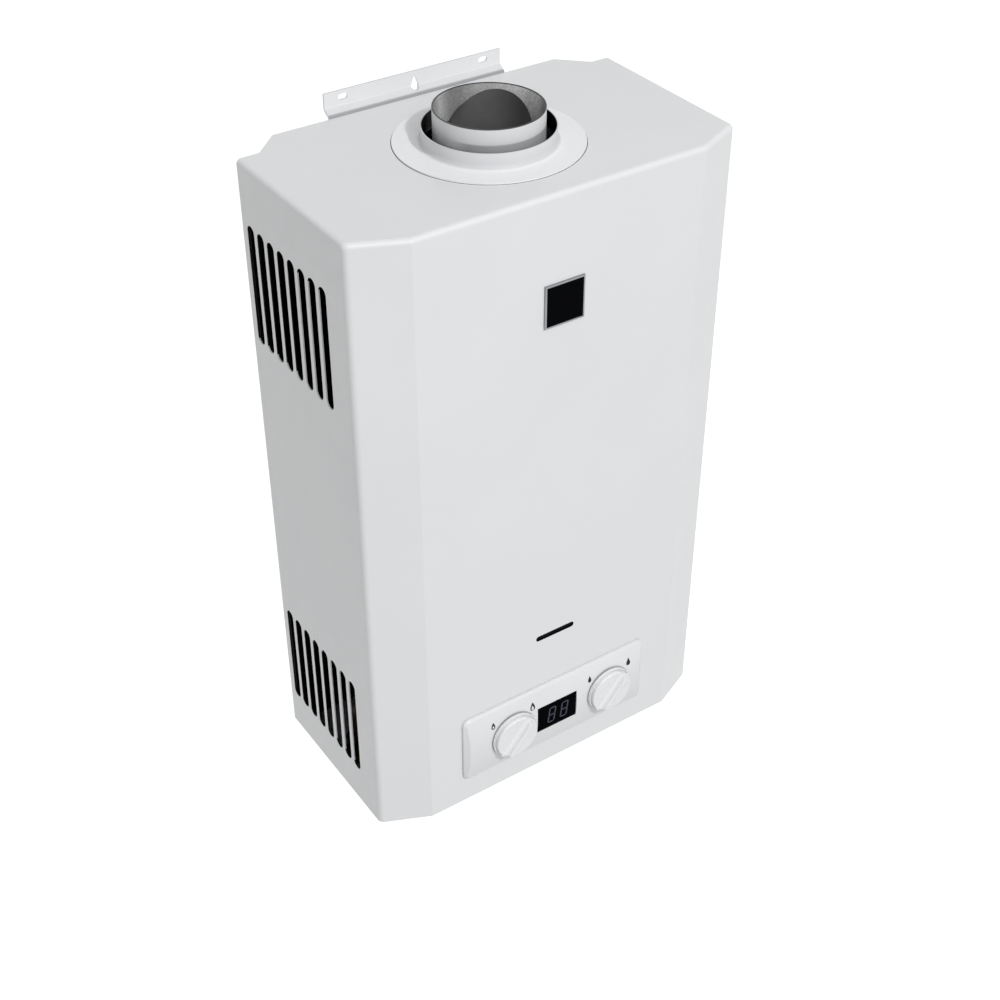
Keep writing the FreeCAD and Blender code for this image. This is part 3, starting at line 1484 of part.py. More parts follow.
def make_gas_valve():
    """Gas valve: an inlet chamber with the safety valve, a port, and the chamber the water side opens."""
    body = new_body("gas_valve_body")
    outline = rectangle(new_sketch(body, "YZ_Plane", gas_left), gas_front, gas_low,
                        valve_y + d.gas_body_depth / 2, gas_high)
    pad(body, outline, gas_right - gas_left)
    long_side = (gas_right - gas_left).value
    fillet(body, lambda b: near(b.XLength, long_side) and b.YLength < 1 and b.ZLength < 1, d.gas_body_radius)
    boss = circle(new_sketch(body, "XZ_Plane", -gas_front), left_knob_x, axis_z, d.boss_radius)
    pad(body, boss, d.boss_length)
    outlet = circle(new_sketch(body, "XZ_Plane", -gas_front), -d.gas_outlet_offset, axis_z,
                    d.gas_pipe_radius + d.outlet_wall)
    pad(body, outlet, d.outlet_length)
    reach = gas_left + d.gas_bore_depth
    for x, radius, length in ((reach, d.gas_bore_radius, d.gas_bore_depth * 2),
                              (reach + d.gas_wall, d.gas_port_radius, d.gas_wall * 2)):
        bore = circle(new_sketch(body, "YZ_Plane", x), valve_y, axis_z, radius)
        pocket(body, bore, length)
    bore = circle(new_sketch(body, "YZ_Plane", gas_right), valve_y, axis_z, d.gas_bore_radius)
    pocket(body, bore, gas_right - reach - d.gas_wall)
    holes = new_sketch(body, "XZ_Plane", -gas_front + d.boss_length)
    circle(holes, left_knob_x, axis_z, d.spindle_radius + d.spindle_fit)
    pocket(body, holes, d.boss_length + d.gas_body_depth / 8)
    holes = new_sketch(body, "XZ_Plane", -gas_front + d.outlet_length)
    circle(holes, -d.gas_outlet_offset, axis_z, d.gas_pipe_radius + d.pin_fit)
    pocket(body, holes, d.outlet_length)
    holes = new_sketch(body, "XZ_Plane", -gas_front)
    circle(holes, -d.gas_outlet_offset, axis_z, d.gas_pipe_radius - d.pipe_wall)
    pocket(body, holes, d.gas_body_depth / 4)
    inlet = circle(new_sketch(body, "XY_Plane", gas_low), -d.gas_offset, port_y, d.spigot_radius + d.pin_fit)
    pocket(body, inlet, d.spigot_length + d.sheet_gap, back=True)
    inlet = circle(new_sketch(body, "XY_Plane", gas_low), -d.gas_offset, port_y, d.water_bore)
    pocket(body, inlet, d.gas_body_height / 2, back=True)
    keep(body)

    ring = across("seat_ring", seat_x - d.seat_gauge, seat_x, d.gas_bore_radius - d.pin_fit)
    hole = across("seat_hole", seat_x - d.seat_gauge - 1, seat_x + 1, d.seat_bore_radius)
    seat = cut("gas_seat", ring, [hole])
    plate = across("gland_disc", gas_right - d.gland_gauge, gas_right, d.gas_bore_radius - d.pin_fit)
    hole = across("gland_hole", gas_right - d.gland_gauge - 1, gas_right + 1, d.rod_radius + d.pin_fit)
    gland = cut("gland_plate", plate, [hole])
    keep(sets_of("valve_rings", [[seat], [gland]]))


def make_push_rod():
    """Rod from the diaphragm to the gas disc, with the collar that works the switch."""
    disc_right = seat_x - d.seat_gauge - d.disc_gap
    keep(across("gas_disc", disc_right - d.disc_gauge, disc_right, d.disc_radius))
    plate_right = diaphragm_x - d.disc_gap
    stem = across("rod_stem", disc_right, plate_right - d.plate_gauge, d.rod_radius)
    plate = across("rod_plate", plate_right - d.plate_gauge, plate_right, d.plate_radius)
    collar = across("rod_collar", collar_x(), collar_x() + d.rod_collar_width, d.rod_collar_radius)
    keep(join("push_rod", [stem, collar, plate]))


def collar_x():
    return (gas_right + cover_left) / 2 - d.disc_gap


def screw_places():
    count = int(d.valve_screw_count.value)
    turn = math.radians(d.valve_screw_turn.value)
    radius = d.valve_screw_circle.value
    angles = [turn + 2 * math.pi * i / count for i in range(count)]
    return [(valve_y + radius * math.cos(a), axis_z + radius * math.sin(a)) for a in angles]


def screw_holes(body, x, length, back=False):
    holes = new_sketch(body, "YZ_Plane", x)
    for y, z in screw_places():
        circle(holes, y, z, d.valve_screw_radius + d.pin_fit)
    pocket(body, holes, length, back=back)


def make_water_valve():
    """Water valve: cover and flange clamp the diaphragm; the cover stands on the gas valve by lugs."""
    cover = new_body("diaphragm_cover")
    disc = circle(new_sketch(cover, "YZ_Plane", cover_left), valve_y, axis_z, d.housing_radius)
    pad(cover, disc, d.cover_height)
    lugs = new_sketch(cover, "YZ_Plane", gas_right)
    for side in (-1, 1):
        circle(lugs, valve_y + side * d.yoke_lug_spread / 2, axis_z, d.yoke_lug_radius)
    pad(cover, lugs, d.yoke_gap)
    cavity = circle(new_sketch(cover, "YZ_Plane", diaphragm_x), valve_y, axis_z, d.cavity_radius)
    pocket(cover, cavity, d.cavity_depth)
    hole = circle(new_sketch(cover, "YZ_Plane", diaphragm_x), valve_y, axis_z, d.rod_radius + d.pin_fit)
    pocket(cover, hole, d.cover_height * 2)
    screw_holes(cover, diaphragm_x, d.cover_height * 2)
    keep(cover)

    sheet_disc = new_body("diaphragm")
    disc = circle(new_sketch(sheet_disc, "YZ_Plane", diaphragm_x), valve_y, axis_z, d.diaphragm_radius)
    pad(sheet_disc, disc, d.diaphragm_gauge)
    screw_holes(sheet_disc, flange_x, d.diaphragm_gauge * 2)
    keep(sheet_disc)

    body = new_body("water_valve_body")
    disc = circle(new_sketch(body, "YZ_Plane", flange_x), valve_y, axis_z, d.housing_radius)
    pad(body, disc, d.water_flange)
    outline = rectangle(new_sketch(body, "YZ_Plane", block_x), water_front, water_low,
                        water_rear, water_low + d.water_body_height)
    pad(body, outline, d.water_body_length)
    fillet(body, lambda b: near(b.XLength, d.water_body_length) and b.YLength < 1 and b.ZLength < 1,
           d.gas_body_radius)
    boss = circle(new_sketch(body, "XZ_Plane", -water_front), right_knob_x, axis_z, d.boss_radius)
    pad(body, boss, d.boss_length)
    cavity = circle(new_sketch(body, "YZ_Plane", flange_x), valve_y, axis_z, d.cavity_radius)
    pocket(body, cavity, d.cavity_depth, back=True)
    screw_holes(body, flange_x, d.water_flange * 0.75, back=True)
    gallery = circle(new_sketch(body, "YZ_Plane", flange_x), valve_y, axis_z, d.water_port_bore)
    pocket(body, gallery, d.water_offset - flange_x, back=True)
    hole = circle(new_sketch(body, "XZ_Plane", -water_front + d.boss_length), right_knob_x, axis_z,
                  d.spindle_radius + d.spindle_fit)
    pocket(body, hole, d.boss_length + d.water_body_depth / 4)
    ports = new_sketch(body, "XY_Plane", water_low)
    circle(ports, d.water_offset, port_y, d.spigot_radius + d.pin_fit)
    circle(ports, d.drain_offset, port_y, d.drain_stem_radius + d.pin_fit)
    pocket(body, ports, d.spigot_length + d.sheet_gap, back=True)
    ports = circle(new_sketch(body, "XY_Plane", water_low), d.water_offset, port_y, d.water_bore)
    pocket(body, ports, d.water_body_height / 2, back=True)
    outlet = circle(new_sketch(body, "XZ_Plane", -water_rear), d.water_offset, axis_z,
                    d.water_pipe_radius + d.pin_fit)
    pocket(body, outlet, d.socket_depth, back=True)
    outlet = circle(new_sketch(body, "XZ_Plane", -water_rear), d.water_offset, axis_z,
                    d.water_pipe_radius - d.pipe_wall)
    pocket(body, outlet, d.water_body_depth / 2, back=True)
    keep(body)

    steps = ((d.valve_screw_head, d.valve_screw_head_radius), (d.valve_screw_length, d.valve_screw_radius))
    start = cover_left - d.valve_screw_head
    keep(formed("valve_screws", [turned_pin(steps, start, y, z, "+X") for y, z in screw_places()]))


def make_solenoid():
    """Safety valve: a coil housing on the gas body and a plunger that shuts the inlet port."""
    end = d.water_pipe_radius + d.solenoid_gap - hot_x
    barrel = across("solenoid_barrel", end, gas_left, d.solenoid_radius)
    flange = block("solenoid_flange", gas_left - d.solenoid_wall, gas_front, gas_low + d.gas_body_radius,
                   gas_left,
                   valve_y + d.gas_body_depth / 2, gas_high - d.gas_body_radius)
    bore = across("solenoid_bore", end + d.solenoid_wall * 2, gas_left + 1, d.plunger_radius + d.pin_fit)
    keep(cut("solenoid_housing", join("solenoid_shell", [barrel, flange]), [bore]))
    face = gas_left + d.gas_bore_depth - d.disc_gap
    stem = across("plunger_stem", end + d.solenoid_wall * 2 + d.plunger_travel + d.disc_gap,
                  face - d.disc_gauge,
                  d.plunger_radius)
    disc = across("plunger_disc", face - d.disc_gauge, face, d.disc_radius)
    keep(join("solenoid_plunger", [stem, disc]))


def make_switch():
    """Switch on a shelf over the push rod, and its lever, which the rod's collar swings aside."""
    low = gas_high + d.shelf_gauge
    right = cover_left - d.sheet_gap
    left = right - d.switch_length
    half = d.switch_width / 2
    shelf = block("shelf_plate", gas_right - d.switch_length, valve_y - half, gas_high, right,
                  valve_y + half, low)
    pivot_x = collar_x() - d.lever_gauge / 2 - d.lever_gap
    pivot_z = gas_high - d.lever_hub_radius - d.sheet_gap
    inner = d.lever_width / 2 + d.sheet_gap
    ears = [block("shelf_ear", pivot_x - d.lever_hub_radius, y, pivot_z - d.lever_hub_radius,
                  pivot_x + d.lever_hub_radius, y + d.shelf_gauge, gas_high)
            for y in (valve_y - inner - d.shelf_gauge, valve_y + inner)]
    pin = rod("shelf_pin", "+Y", pivot_x, valve_y - inner - d.shelf_gauge, pivot_z, d.lever_pin_radius,
              inner * 2 + d.shelf_gauge * 2)
    keep(join("switch_shelf", [shelf, pin] + ears))
    keep(block("microswitch", left, valve_y - half, low, right, valve_y + half, low + d.switch_height))
    hub = rod("lever_hub", "+Y", pivot_x, valve_y - d.lever_width / 2, pivot_z, d.lever_hub_radius,
              d.lever_width)
    arm = block("lever_arm", pivot_x - d.lever_gauge / 2, valve_y - d.lever_width / 2,
                axis_z + d.rod_radius + 1,
                pivot_x + d.lever_gauge / 2, valve_y + d.lever_width / 2, pivot_z)
    eye = rod("lever_eye", "+Y", pivot_x, valve_y - d.lever_width, pivot_z, d.lever_pin_radius + d.pin_fit,
              d.lever_width * 2)
    keep(cut("switch_lever", join("lever_body", [hub, arm]), [eye]))


# Connections below the casing, and the pipes inside


def hexagon(sketch, x, y, flats):
    """A regular six-sided outline, from its width across the flats."""
    corner = flats / math.sqrt(3)
    points = [(x + corner * math.cos(math.radians(60 * i)), y + corner * math.sin(math.radians(60 * i)))
              for i in range(6)]
    return polygon(sketch, points)


def make_fitting(label, x, top, spigot):
    """Threaded end below the casing, a hexagon on the bottom plate and a spigot or socket above."""
    body = new_body(label)
    base = -d.port_drop
    stem = circle(new_sketch(body, "XY_Plane", base), x, port_y, d.thread_radius)
    pad(body, stem, top + d.port_drop)
    nut = hexagon(new_sketch(body, "XY_Plane", floor_top), x, port_y, d.hex_across)
    pad(body, nut, d.hex_height)
    groove = new_sketch(body, "XY_Plane", base + d.thread_length)
    circle(groove, x, port_y, d.thread_radius + 1)
    circle(groove, x, port_y, d.thread_root_radius)
    pocket(body, groove, d.relief_width, back=True)
    chamfer(body, lambda b: near(b.ZMin, base) and near(b.ZMax, base) and b.XLength > 1, d.thread_chamfer)
    if spigot:
        neck = circle(new_sketch(body, "XY_Plane", top), x, port_y, d.spigot_radius)
        pad(body, neck, d.spigot_length)
    bore = circle(new_sketch(body, "XY_Plane", base), x, port_y, d.water_bore)
    pocket(body, bore, back=True)
    if not spigot:
        socket = circle(new_sketch(body, "XY_Plane", top), x, port_y, d.water_pipe_radius + d.pin_fit)
        pocket(body, socket, d.socket_depth)
    return keep(body)


def make_drain_plug():
    steps = ((d.drain_cap_height, d.drain_radius), (water_low - d.drain_cap_top, d.drain_neck_radius),
             (d.spigot_length, d.drain_stem_radius))
    start = d.drain_cap_top - d.drain_cap_height
    return keep(formed("drain_plug", [turned_pin(steps, d.drain_offset, port_y, start, "+Z")]))


def make_pipes():
    """Water pipes: cold goes round the chamber on its way up, hot comes down at the left."""
    radius = d.water_pipe_radius
    wall = d.pipe_wall
    clear = radius + d.coil_gap
    side = core_x + clear
    rear = core_rear + clear
    front = core_front - clear
    end_x = core_x + d.core_tube_stub
    riser = end_x + d.riser_reach
    rear_tube = flue_y + d.core_tube_spacing
    front_tube = flue_y - d.core_tube_spacing
    turn = d.coil_height
    points = [(d.water_offset, water_rear - d.socket_depth + d.disc_gap, axis_z),
              (d.water_offset, rear, axis_z),
              (riser, rear, axis_z), (riser, rear, turn), (-side, rear, turn), (-side, front, turn),
              (riser, front, turn), (riser, rear_tube, turn), (riser, rear_tube, tube_height),
              (end_x, rear_tube, tube_height)]
    keep(bent_tube("cold_pipe", points, radius, wall, d.pipe_bend))
    drop = hot_x
    points = [(-end_x, front_tube, tube_height), (-drop, front_tube, tube_height),
              (-drop, front_tube, d.hot_jog_top), (-drop, port_y, d.hot_jog_top - (port_y - front_tube)),
              (-drop, port_y, d.hot_top - d.socket_depth + d.disc_gap)]
    keep(bent_tube("hot_pipe", points, radius, wall, d.pipe_bend))
    reach = manifold_rear - d.manifold_depth / 2
    points = [(-d.gas_outlet_offset, gas_front, axis_z), (-d.gas_outlet_offset, reach, axis_z),
              (-d.gas_outlet_offset, reach, throat_z - d.manifold_height / 2)]
    keep(bent_tube("manifold_riser", points, d.gas_pipe_radius, wall, d.pipe_bend))


# Ignition, sensing, and the battery supply


def make_ignition():
    """Control box on the back, two electrodes in the chamber wall, and the two sensors."""
    x = -d.igniter_offset
    body = new_body("ignition_controller")
    outline = rectangle(new_sketch(body, "XY_Plane", d.igniter_base), x - d.igniter_width / 2,
                        tray_inside - d.igniter_depth, x + d.igniter_width / 2, tray_inside)
    pad(body, outline, d.igniter_height)
    fillet(body, lambda b: near(b.ZLength, d.igniter_height), d.igniter_edge_radius)
    keep(body)
    tips = []
    pins = []
    z = chamber_base + d.electrode_rise
    outer = core_front - d.electrode_stand
    for side in (-1, 1):
        x = side * d.electrode_spread / 2
        stand = d.electrode_stand - d.electrode_collar
        steps = ((stand, d.electrode_radius), (d.electrode_collar, d.electrode_collar_radius),
                 (d.electrode_length - d.electrode_stand, d.electrode_radius))
        ceramic = turned_pin(steps, x, outer, z, "+Y")
        hole = Part.makeCylinder((d.electrode_wire_radius + d.pin_fit).value, d.electrode_length.value + 2,
                                 vector(x, outer - 1, z), Vector(0, 1, 0))
        tips.append(ceramic.cut(hole))
        inner = outer + d.electrode_length
        path = bent_path([(x, outer, z), (x, inner + d.electrode_tip, z),
                          (x, inner + d.electrode_tip, blade_top + d.electrode_gap)], d.lead_bend)
        pins.append(swept(path, d.electrode_wire_radius))
    keep(formed("electrode_insulators", tips))
    keep(formed("electrode_rods", pins))
    cutout_z = d.coil_height + d.cutout_lift
    cutout = rod("overheat_cutout", "-Y", as_size(0), core_front, cutout_z, d.cutout_radius,
                 d.cutout_height)
    ring = rod("sensor_ring", "+Z", -hot_x, flue_y - d.core_tube_spacing, cutout_z, d.sensor_radius,
               d.sensor_height)
    hole = rod("sensor_hole", "+Z", -hot_x, flue_y - d.core_tube_spacing, cutout_z - 1,
               d.water_pipe_radius + d.pin_fit, d.sensor_height + 2)
    keep(sets_of("heat_sensors", [[cutout], [cut("outlet_sensor", ring, [hole])]]))


def make_leads():
    """Insulated leads from the control box to the electrodes, the batteries and the display."""
    box_front = tray_inside - d.igniter_depth
    ahead = core_front - d.electrode_stand
    z = chamber_base + d.electrode_rise
    lane = -(core_x + d.joint_flange + hot_x - d.water_pipe_radius) / 2
    step = d.lead_radius * 4
    reach = d.electrode_spread / 2
    run = (ahead + front_face + d.cover_gauge) / 2
    spark = [(lane, box_front, z), (lane, run, z), (-reach, run, z), (-reach, ahead, z)]
    high = z + step
    flame = [(lane + step, box_front, high), (lane + step, run, high), (reach, run, high), (reach, run, z),
             (reach, ahead, z)]
    leads = [swept(bent_path(route, d.lead_bend), d.lead_radius) for route in (spark, flame)]
    keep(formed("electrode_leads", leads))


def make_batteries():
    """Battery box in the bottom plate, two upright cells, and a hinged cover beneath them."""
    x0, y0, x1, y1 = box_plan(as_size(0))
    wall = d.box_wall
    roof = d.door_gauge + d.cell_play + d.cell_length + d.cell_cap + d.cell_play
    shell_box = block("box_shell", x0, y0, as_size(0), x1, y1, roof + wall)
    rim = block("box_flange", x0 - d.box_rim, y0 - d.box_rim, floor_top, x1 + d.box_rim, y1 + d.box_rim,
                floor_top + wall)
    cavity = block("box_cavity", x0 + wall, y0 + wall, as_size(-1), x1 - wall, y1 - wall, roof)
    hinge_y = y1 - wall / 2
    hinge_z = -(d.door_hub_radius + d.cell_play / 2)
    middle = (x0 + x1) / 2
    half = d.door_hub_length / 2
    lugs = []
    holes = []
    for side in (-1, 1):
        inner = half + d.door_play
        a, b = sorted((middle + side * inner, middle + side * (inner + d.door_hub_radius)),
                      key=lambda size: size.value)
        lugs.append(rod("lug_round", "+X", a, hinge_y, hinge_z, d.door_hub_radius, b - a))
        lugs.append(block("lug_neck", a, y1 - wall, hinge_z, b, y1, floor_top))
        holes.append(rod("lug_hole", "+X", a - 1, hinge_y, hinge_z, d.door_pin_radius + d.pin_fit / 2,
                         b - a + 2))
    keep(cut("battery_box", join("box_body", [shell_box, rim] + lugs), [cavity] + holes))
    reach = half + d.door_play + d.door_hub_radius
    keep(rod("battery_hinge_pin", "+X", middle - reach, hinge_y, hinge_z, d.door_pin_radius, reach * 2))

    gap = d.door_play
    leaf = block("door_leaf", x0 + wall + gap, y0 + wall + gap, as_size(0), x1 - wall - gap, y1 - wall - gap,
                 d.door_gauge)
    grip = block("door_grip", middle - half, y0 + wall + gap, -d.door_gauge, middle + half,
                 y0 + wall + gap + d.door_gauge, as_size(0))
    hub = rod("door_hub", "+X", middle - half, hinge_y, hinge_z, d.door_hub_radius, half * 2)
    arm = block("door_arm", middle - half, hinge_y - d.door_hub_radius * 2, hinge_z, middle + half,
                y1 - wall - gap, d.door_gauge / 2)
    eye = rod("door_eye", "+X", middle - half - 1, hinge_y, hinge_z, d.door_pin_radius + d.pin_fit,
              half * 2 + 2)
    keep(cut("battery_cover", join("door_body", [leaf, grip, hub, arm]), [eye]))

    spacing = d.cell_radius + d.cell_play / 2
    steps = ((d.cell_length, d.cell_radius), (d.cell_cap, d.cell_cap_radius))
    cells = [turned_pin(steps, middle, -box_setback + side * spacing, d.door_gauge + d.cell_play, "+Z")
             for side in (-1, 1)]
    keep(formed("battery_cells", cells))


def make_cover_screws():
    steps = ((d.cover_screw_head_height, d.cover_screw_head), (d.cover_screw_length, d.cover_screw_radius))
    screws = [turned_pin(steps, x, y, -d.cover_screw_head_height, "+Z") for x, y in cover_screw_points()]
    return keep(formed("cover_screws", screws))


make_front_cover()
make_back_plate()
make_floor_plate()
make_upper_bracket()
make_lower_bracket()
make_bracket_rivets()
make_flue_pipe()
make_flue_collar()
make_damper()
make_control_panel()
make_display()
make_knob("gas_knob", left_knob_x)
make_knob("water_knob", right_knob_x)
make_spindle("gas_spindle", left_knob_x, gas_front - d.boss_length)
make_spindle("water_spindle", right_knob_x, water_front - d.boss_length)
make_badge()
make_sight_pane()
make_draught_hood()
make_fin_block()
make_return_bends()
make_combustion_chamber()
make_burner_frame()
make_burner_blades()
make_gas_manifold()
make_brackets_inside()
make_gas_valve()
make_push_rod()
make_water_valve()
make_solenoid()
make_switch()
make_fitting("hot_outlet", -hot_x, d.hot_top, False)
make_fitting("gas_inlet", -d.gas_offset, gas_low, True)
make_fitting("cold_inlet", d.water_offset, water_low, True)
make_drain_plug()
make_pipes()
make_ignition()
make_leads()
make_batteries()
make_cover_screws()

# Every piece is checked, then written under its own name

os.makedirs("parts", exist_ok=True)
doc.recompute()
for item in doc.Objects:
    if "Invalid" in item.State or "Error" in item.State:
        raise RuntimeError("%s is not sound" % item.Label)
for piece in PIECES:
    shape = piece.Shape
    if shape.isNull() or not shape.isValid() or not shape.Solids:
        raise RuntimeError("%s has no sound solid" % piece.Label)
    shape.exportStep(os.path.join("parts", piece.Label + ".step"))
    print("%-22s %2d solids %10.1f mm3" % (piece.Label, len(shape.Solids), shape.Volume))
print(len(PIECES), "pieces")
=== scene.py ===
# %% [markdown]
# # A wall-hung gas water heater, dressed in Blender
#
# The heater was drawn in CAD and packed as a frame: sixty named pieces, all in metres, with their joints.
# This notebook never moves them. It gives every piece a finish, and adds the fine detail that a solid
# modeller leaves out, such as screw threads, printed marks and the segments of the display.
# Every number is written in metres, or in millimetres times MM, in the frame of the packed model:
# X to the right, Y into the wall, Z up, and zero between the two wall slots.

# %% Load the frame
import json
import math

import bpy
import numpy as np
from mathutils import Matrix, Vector
from mathutils.bvhtree import BVHTree


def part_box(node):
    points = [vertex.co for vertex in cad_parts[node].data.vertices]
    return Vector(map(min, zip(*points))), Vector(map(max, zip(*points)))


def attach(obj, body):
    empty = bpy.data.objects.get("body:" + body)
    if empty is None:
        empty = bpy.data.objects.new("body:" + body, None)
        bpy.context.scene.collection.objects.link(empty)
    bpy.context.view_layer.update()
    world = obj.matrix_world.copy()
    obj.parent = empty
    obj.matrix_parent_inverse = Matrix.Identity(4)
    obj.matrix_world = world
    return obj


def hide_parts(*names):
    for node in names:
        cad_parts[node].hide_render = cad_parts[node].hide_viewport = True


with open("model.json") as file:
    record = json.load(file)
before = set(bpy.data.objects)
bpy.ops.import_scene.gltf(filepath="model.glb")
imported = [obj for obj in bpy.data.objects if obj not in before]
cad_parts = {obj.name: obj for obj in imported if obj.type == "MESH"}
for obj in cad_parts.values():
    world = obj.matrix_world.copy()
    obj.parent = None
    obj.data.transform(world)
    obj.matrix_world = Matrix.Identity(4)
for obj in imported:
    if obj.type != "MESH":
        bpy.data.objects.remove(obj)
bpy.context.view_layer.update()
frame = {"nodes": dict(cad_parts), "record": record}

MM = 0.001

# %% [markdown]
# ## The camera
#
# The photograph looks down at the heater from its upper left. Its viewpoint was solved from the straight
# edges of the casing, so the camera only has to be set to it: a place, a heading, a downward tilt, no roll.
# A lens of 59 mm on a 36 mm sensor gives the photograph's own perspective.

# %% Camera
CAMERA_PLACE = (-0.607251, -1.018019, 0.499620)
HEADING = math.radians(33.9905)
DOWNWARD = math.radians(37.3234)
camera_data = bpy.data.cameras.new("photo_camera")
camera_data.lens = 59.185
camera_data.sensor_width = 36.0
camera_data.clip_end = 100.0
camera = bpy.data.objects.new("photo_camera", camera_data)
camera.location = CAMERA_PLACE
camera.rotation_euler = (math.pi / 2 - DOWNWARD, 0.0, -HEADING)
bpy.context.scene.collection.objects.link(camera)
bpy.context.scene.camera = camera
print("camera to the wall slots:", round(Vector(CAMERA_PLACE).length, 3), "m")

# %% [markdown]
# ## Colours as they are seen
#
# A colour picked on screen, from 0 to 255, isn't what a shader adds up. The screen value is raised to a
# power of about 2.4 to get the share of light that the surface returns. One small function does this for
# every finish, so that each colour can be written as it looks.

# %% Screen colour to light
scene = bpy.context.scene
scene.view_settings.view_transform = "Standard"


def shade(red, green, blue):
    """Screen colour to linear light: ((c + 0.055) / 1.055) to the power 2.4, and c / 12.92 near black."""
    c = np.array([red, green, blue], float) / 255
    light = np.where(c > 0.04045, ((c + 0.055) / 1.055) ** 2.4, c / 12.92)
    return (float(light[0]), float(light[1]), float(light[2]), 1.0)


print("screen grey 223 returns", round(shade(223, 223, 223)[0], 3), "of the light")

# %% [markdown]
# ## Nodes in words
#
# A finish is a Principled shader with a few patterns plugged into it. Building each tree by hand would
# bury the idea under links, so this class offers the steps as words: a pattern's place on the object,
# noise, cells, stripes, a mix of two colours, and a bump. All of them read Object coordinates, which are
# plain metres on these pieces, so a scale of 1000 means one cycle for each millimetre.

# %% A small language for finishes
MICRON = 0.001 * MM


class Finish:
    """One material: a Principled shader with plain values, then patterns that vary its colour or relief."""

    def __init__(self, name, colour, roughness, metallic=0.0, **sockets):
        self.material = bpy.data.materials.new(name)
        self.material.use_nodes = True
        self.tree = self.material.node_tree
        self.shader = self.tree.nodes["Principled BSDF"]
        self.shader.inputs["Base Color"].default_value = shade(*colour)
        self.shader.inputs["Roughness"].default_value = roughness
        self.shader.inputs["Metallic"].default_value = metallic
        for socket, value in sockets.items():
            self.shader.inputs[socket.replace("_", " ")].default_value = value
        self.material.diffuse_color = shade(*colour)
        self.normal = None

    def node(self, kind, **inputs):
        made = self.tree.nodes.new("ShaderNode" + kind)
        for socket, value in inputs.items():
            self.feed(made.inputs[socket.replace("_", " ")], value)
        return made

    def feed(self, socket, value):
        if isinstance(value, bpy.types.NodeSocket):
            self.tree.links.new(value, socket)
        else:
            socket.default_value = value

    def place(self, scale=(1, 1, 1), centre=(0, 0, 0)):
        """Where a point is on the object, in metres, centred and stretched for a pattern."""
        source = self.node("TexCoord").outputs["Object"]
        moved = self.node("VectorMath", Vector=source)
        moved.operation = "SUBTRACT"
        moved.inputs[1].default_value = centre
        return self.node("Mapping", Vector=moved.outputs[0], Scale=scale).outputs[0]

    def noise(self, scale, detail=2.0, rough=0.5, place=None):
        made = self.node("TexNoise", Vector=place or self.place(), Scale=scale, Detail=detail)
        made.inputs["Roughness"].default_value = rough
        return made.outputs["Fac"]

    def cells(self, scale, feature="F1", output="Color", place=None, random=1.0):
        made = self.node("TexVoronoi", Vector=place or self.place(), Scale=scale, Randomness=random)
        made.feature = feature
        return made.outputs[output]

    def maths(self, operation, a, b=0.5):
        made = self.node("Math")
        made.operation = operation
        self.feed(made.inputs[0], a)
        self.feed(made.inputs[1], b)
        return made.outputs[0]

    def axis(self, vector, number):
        """One number of three: 0, 1 and 2 are X, Y and Z of a place, or red, green and blue."""
        return self.node("SeparateXYZ", Vector=vector).outputs[number]

    def ramp(self, value, low, high, to_low=0.0, to_high=1.0, smooth=False):
        made = self.node("MapRange", Value=value, From_Min=low, From_Max=high,
                         To_Min=to_low, To_Max=to_high)
        if smooth:
            made.interpolation_type = "SMOOTHSTEP"
        return made.outputs["Result"]

    def mix(self, share, a, b):
        made = self.node("Mix")
        made.data_type = "RGBA"
        colours = [s for s in made.inputs if s.type == "RGBA"]
        self.feed(made.inputs[0], share)
        self.feed(colours[0], a)
        self.feed(colours[1], b)
        return next(s for s in made.outputs if s.type == "RGBA")

    def colour(self, value):
        self.feed(self.shader.inputs["Base Color"], value)

    def tint(self, share, colour):
        """Lays one more colour over what is there, where the share rises from 0 to 1."""
        socket = self.shader.inputs["Base Color"]
        there = socket.links[0].from_socket if socket.links else socket.default_value[:]
        self.colour(self.mix(share, there, shade(*colour)))

    def rough(self, value):
        self.feed(self.shader.inputs["Roughness"], value)

    def bump(self, height, depth):
        """Relief from a pattern; depth is how many microns a step from 0 to 1 stands out."""
        made = self.node("Bump", Strength=1.0, Distance=depth * MICRON, Height=height)
        if self.normal:
            self.feed(made.inputs["Normal"], self.normal)
        self.normal = made.outputs[0]
        self.feed(self.shader.inputs["Normal"], self.normal)

    def radius(self, centre, across=(1, 1, 0)):
        """Distance from an axis through the centre; across keeps the two directions square to it."""
        flat = self.node("VectorMath", Vector=self.place(scale=across, centre=centre))
        flat.operation = "LENGTH"
        return flat.outputs["Value"]

    def around(self, centre):
        """Direction of a point seen from an upright axis, in degrees, with 0 along X and 90 along Y."""
        moved = self.place(centre=centre)
        angle = self.maths("ARCTAN2", self.axis(moved, 1), self.axis(moved, 0))
        return self.maths("MULTIPLY", angle, 180 / math.pi)

    def facing(self, toward):
        """How far a surface faces a direction: 1 for straight at it, 0 for square to it, -1 for away."""
        made = self.node("VectorMath", Vector=self.node("TexCoord").outputs["Normal"])
        made.operation = "DOT_PRODUCT"
        self.feed(made.inputs[1], toward)
        return made.outputs["Value"]

    def steps(self, value, low, high, stops):
        """A curve through stops: pairs of a position from low to high, and a grey from 0 to 255."""
        made = self.node("ValToRGB", Fac=self.ramp(value, low, high))
        bar = made.color_ramp
        bar.interpolation = "B_SPLINE"
        bar.elements.remove(bar.elements[1])
        bar.elements[0].position = 0.0
        bar.elements[0].color = shade(*[stops[0][1]] * 3)
        for position, grey in stops[1:]:
            bar.elements.new((position - low) / (high - low)).color = shade(grey, grey, grey)
        return made.outputs["Color"]


print("a finish knows", len([w for w in vars(Finish) if not w.startswith("_")]), "steps")

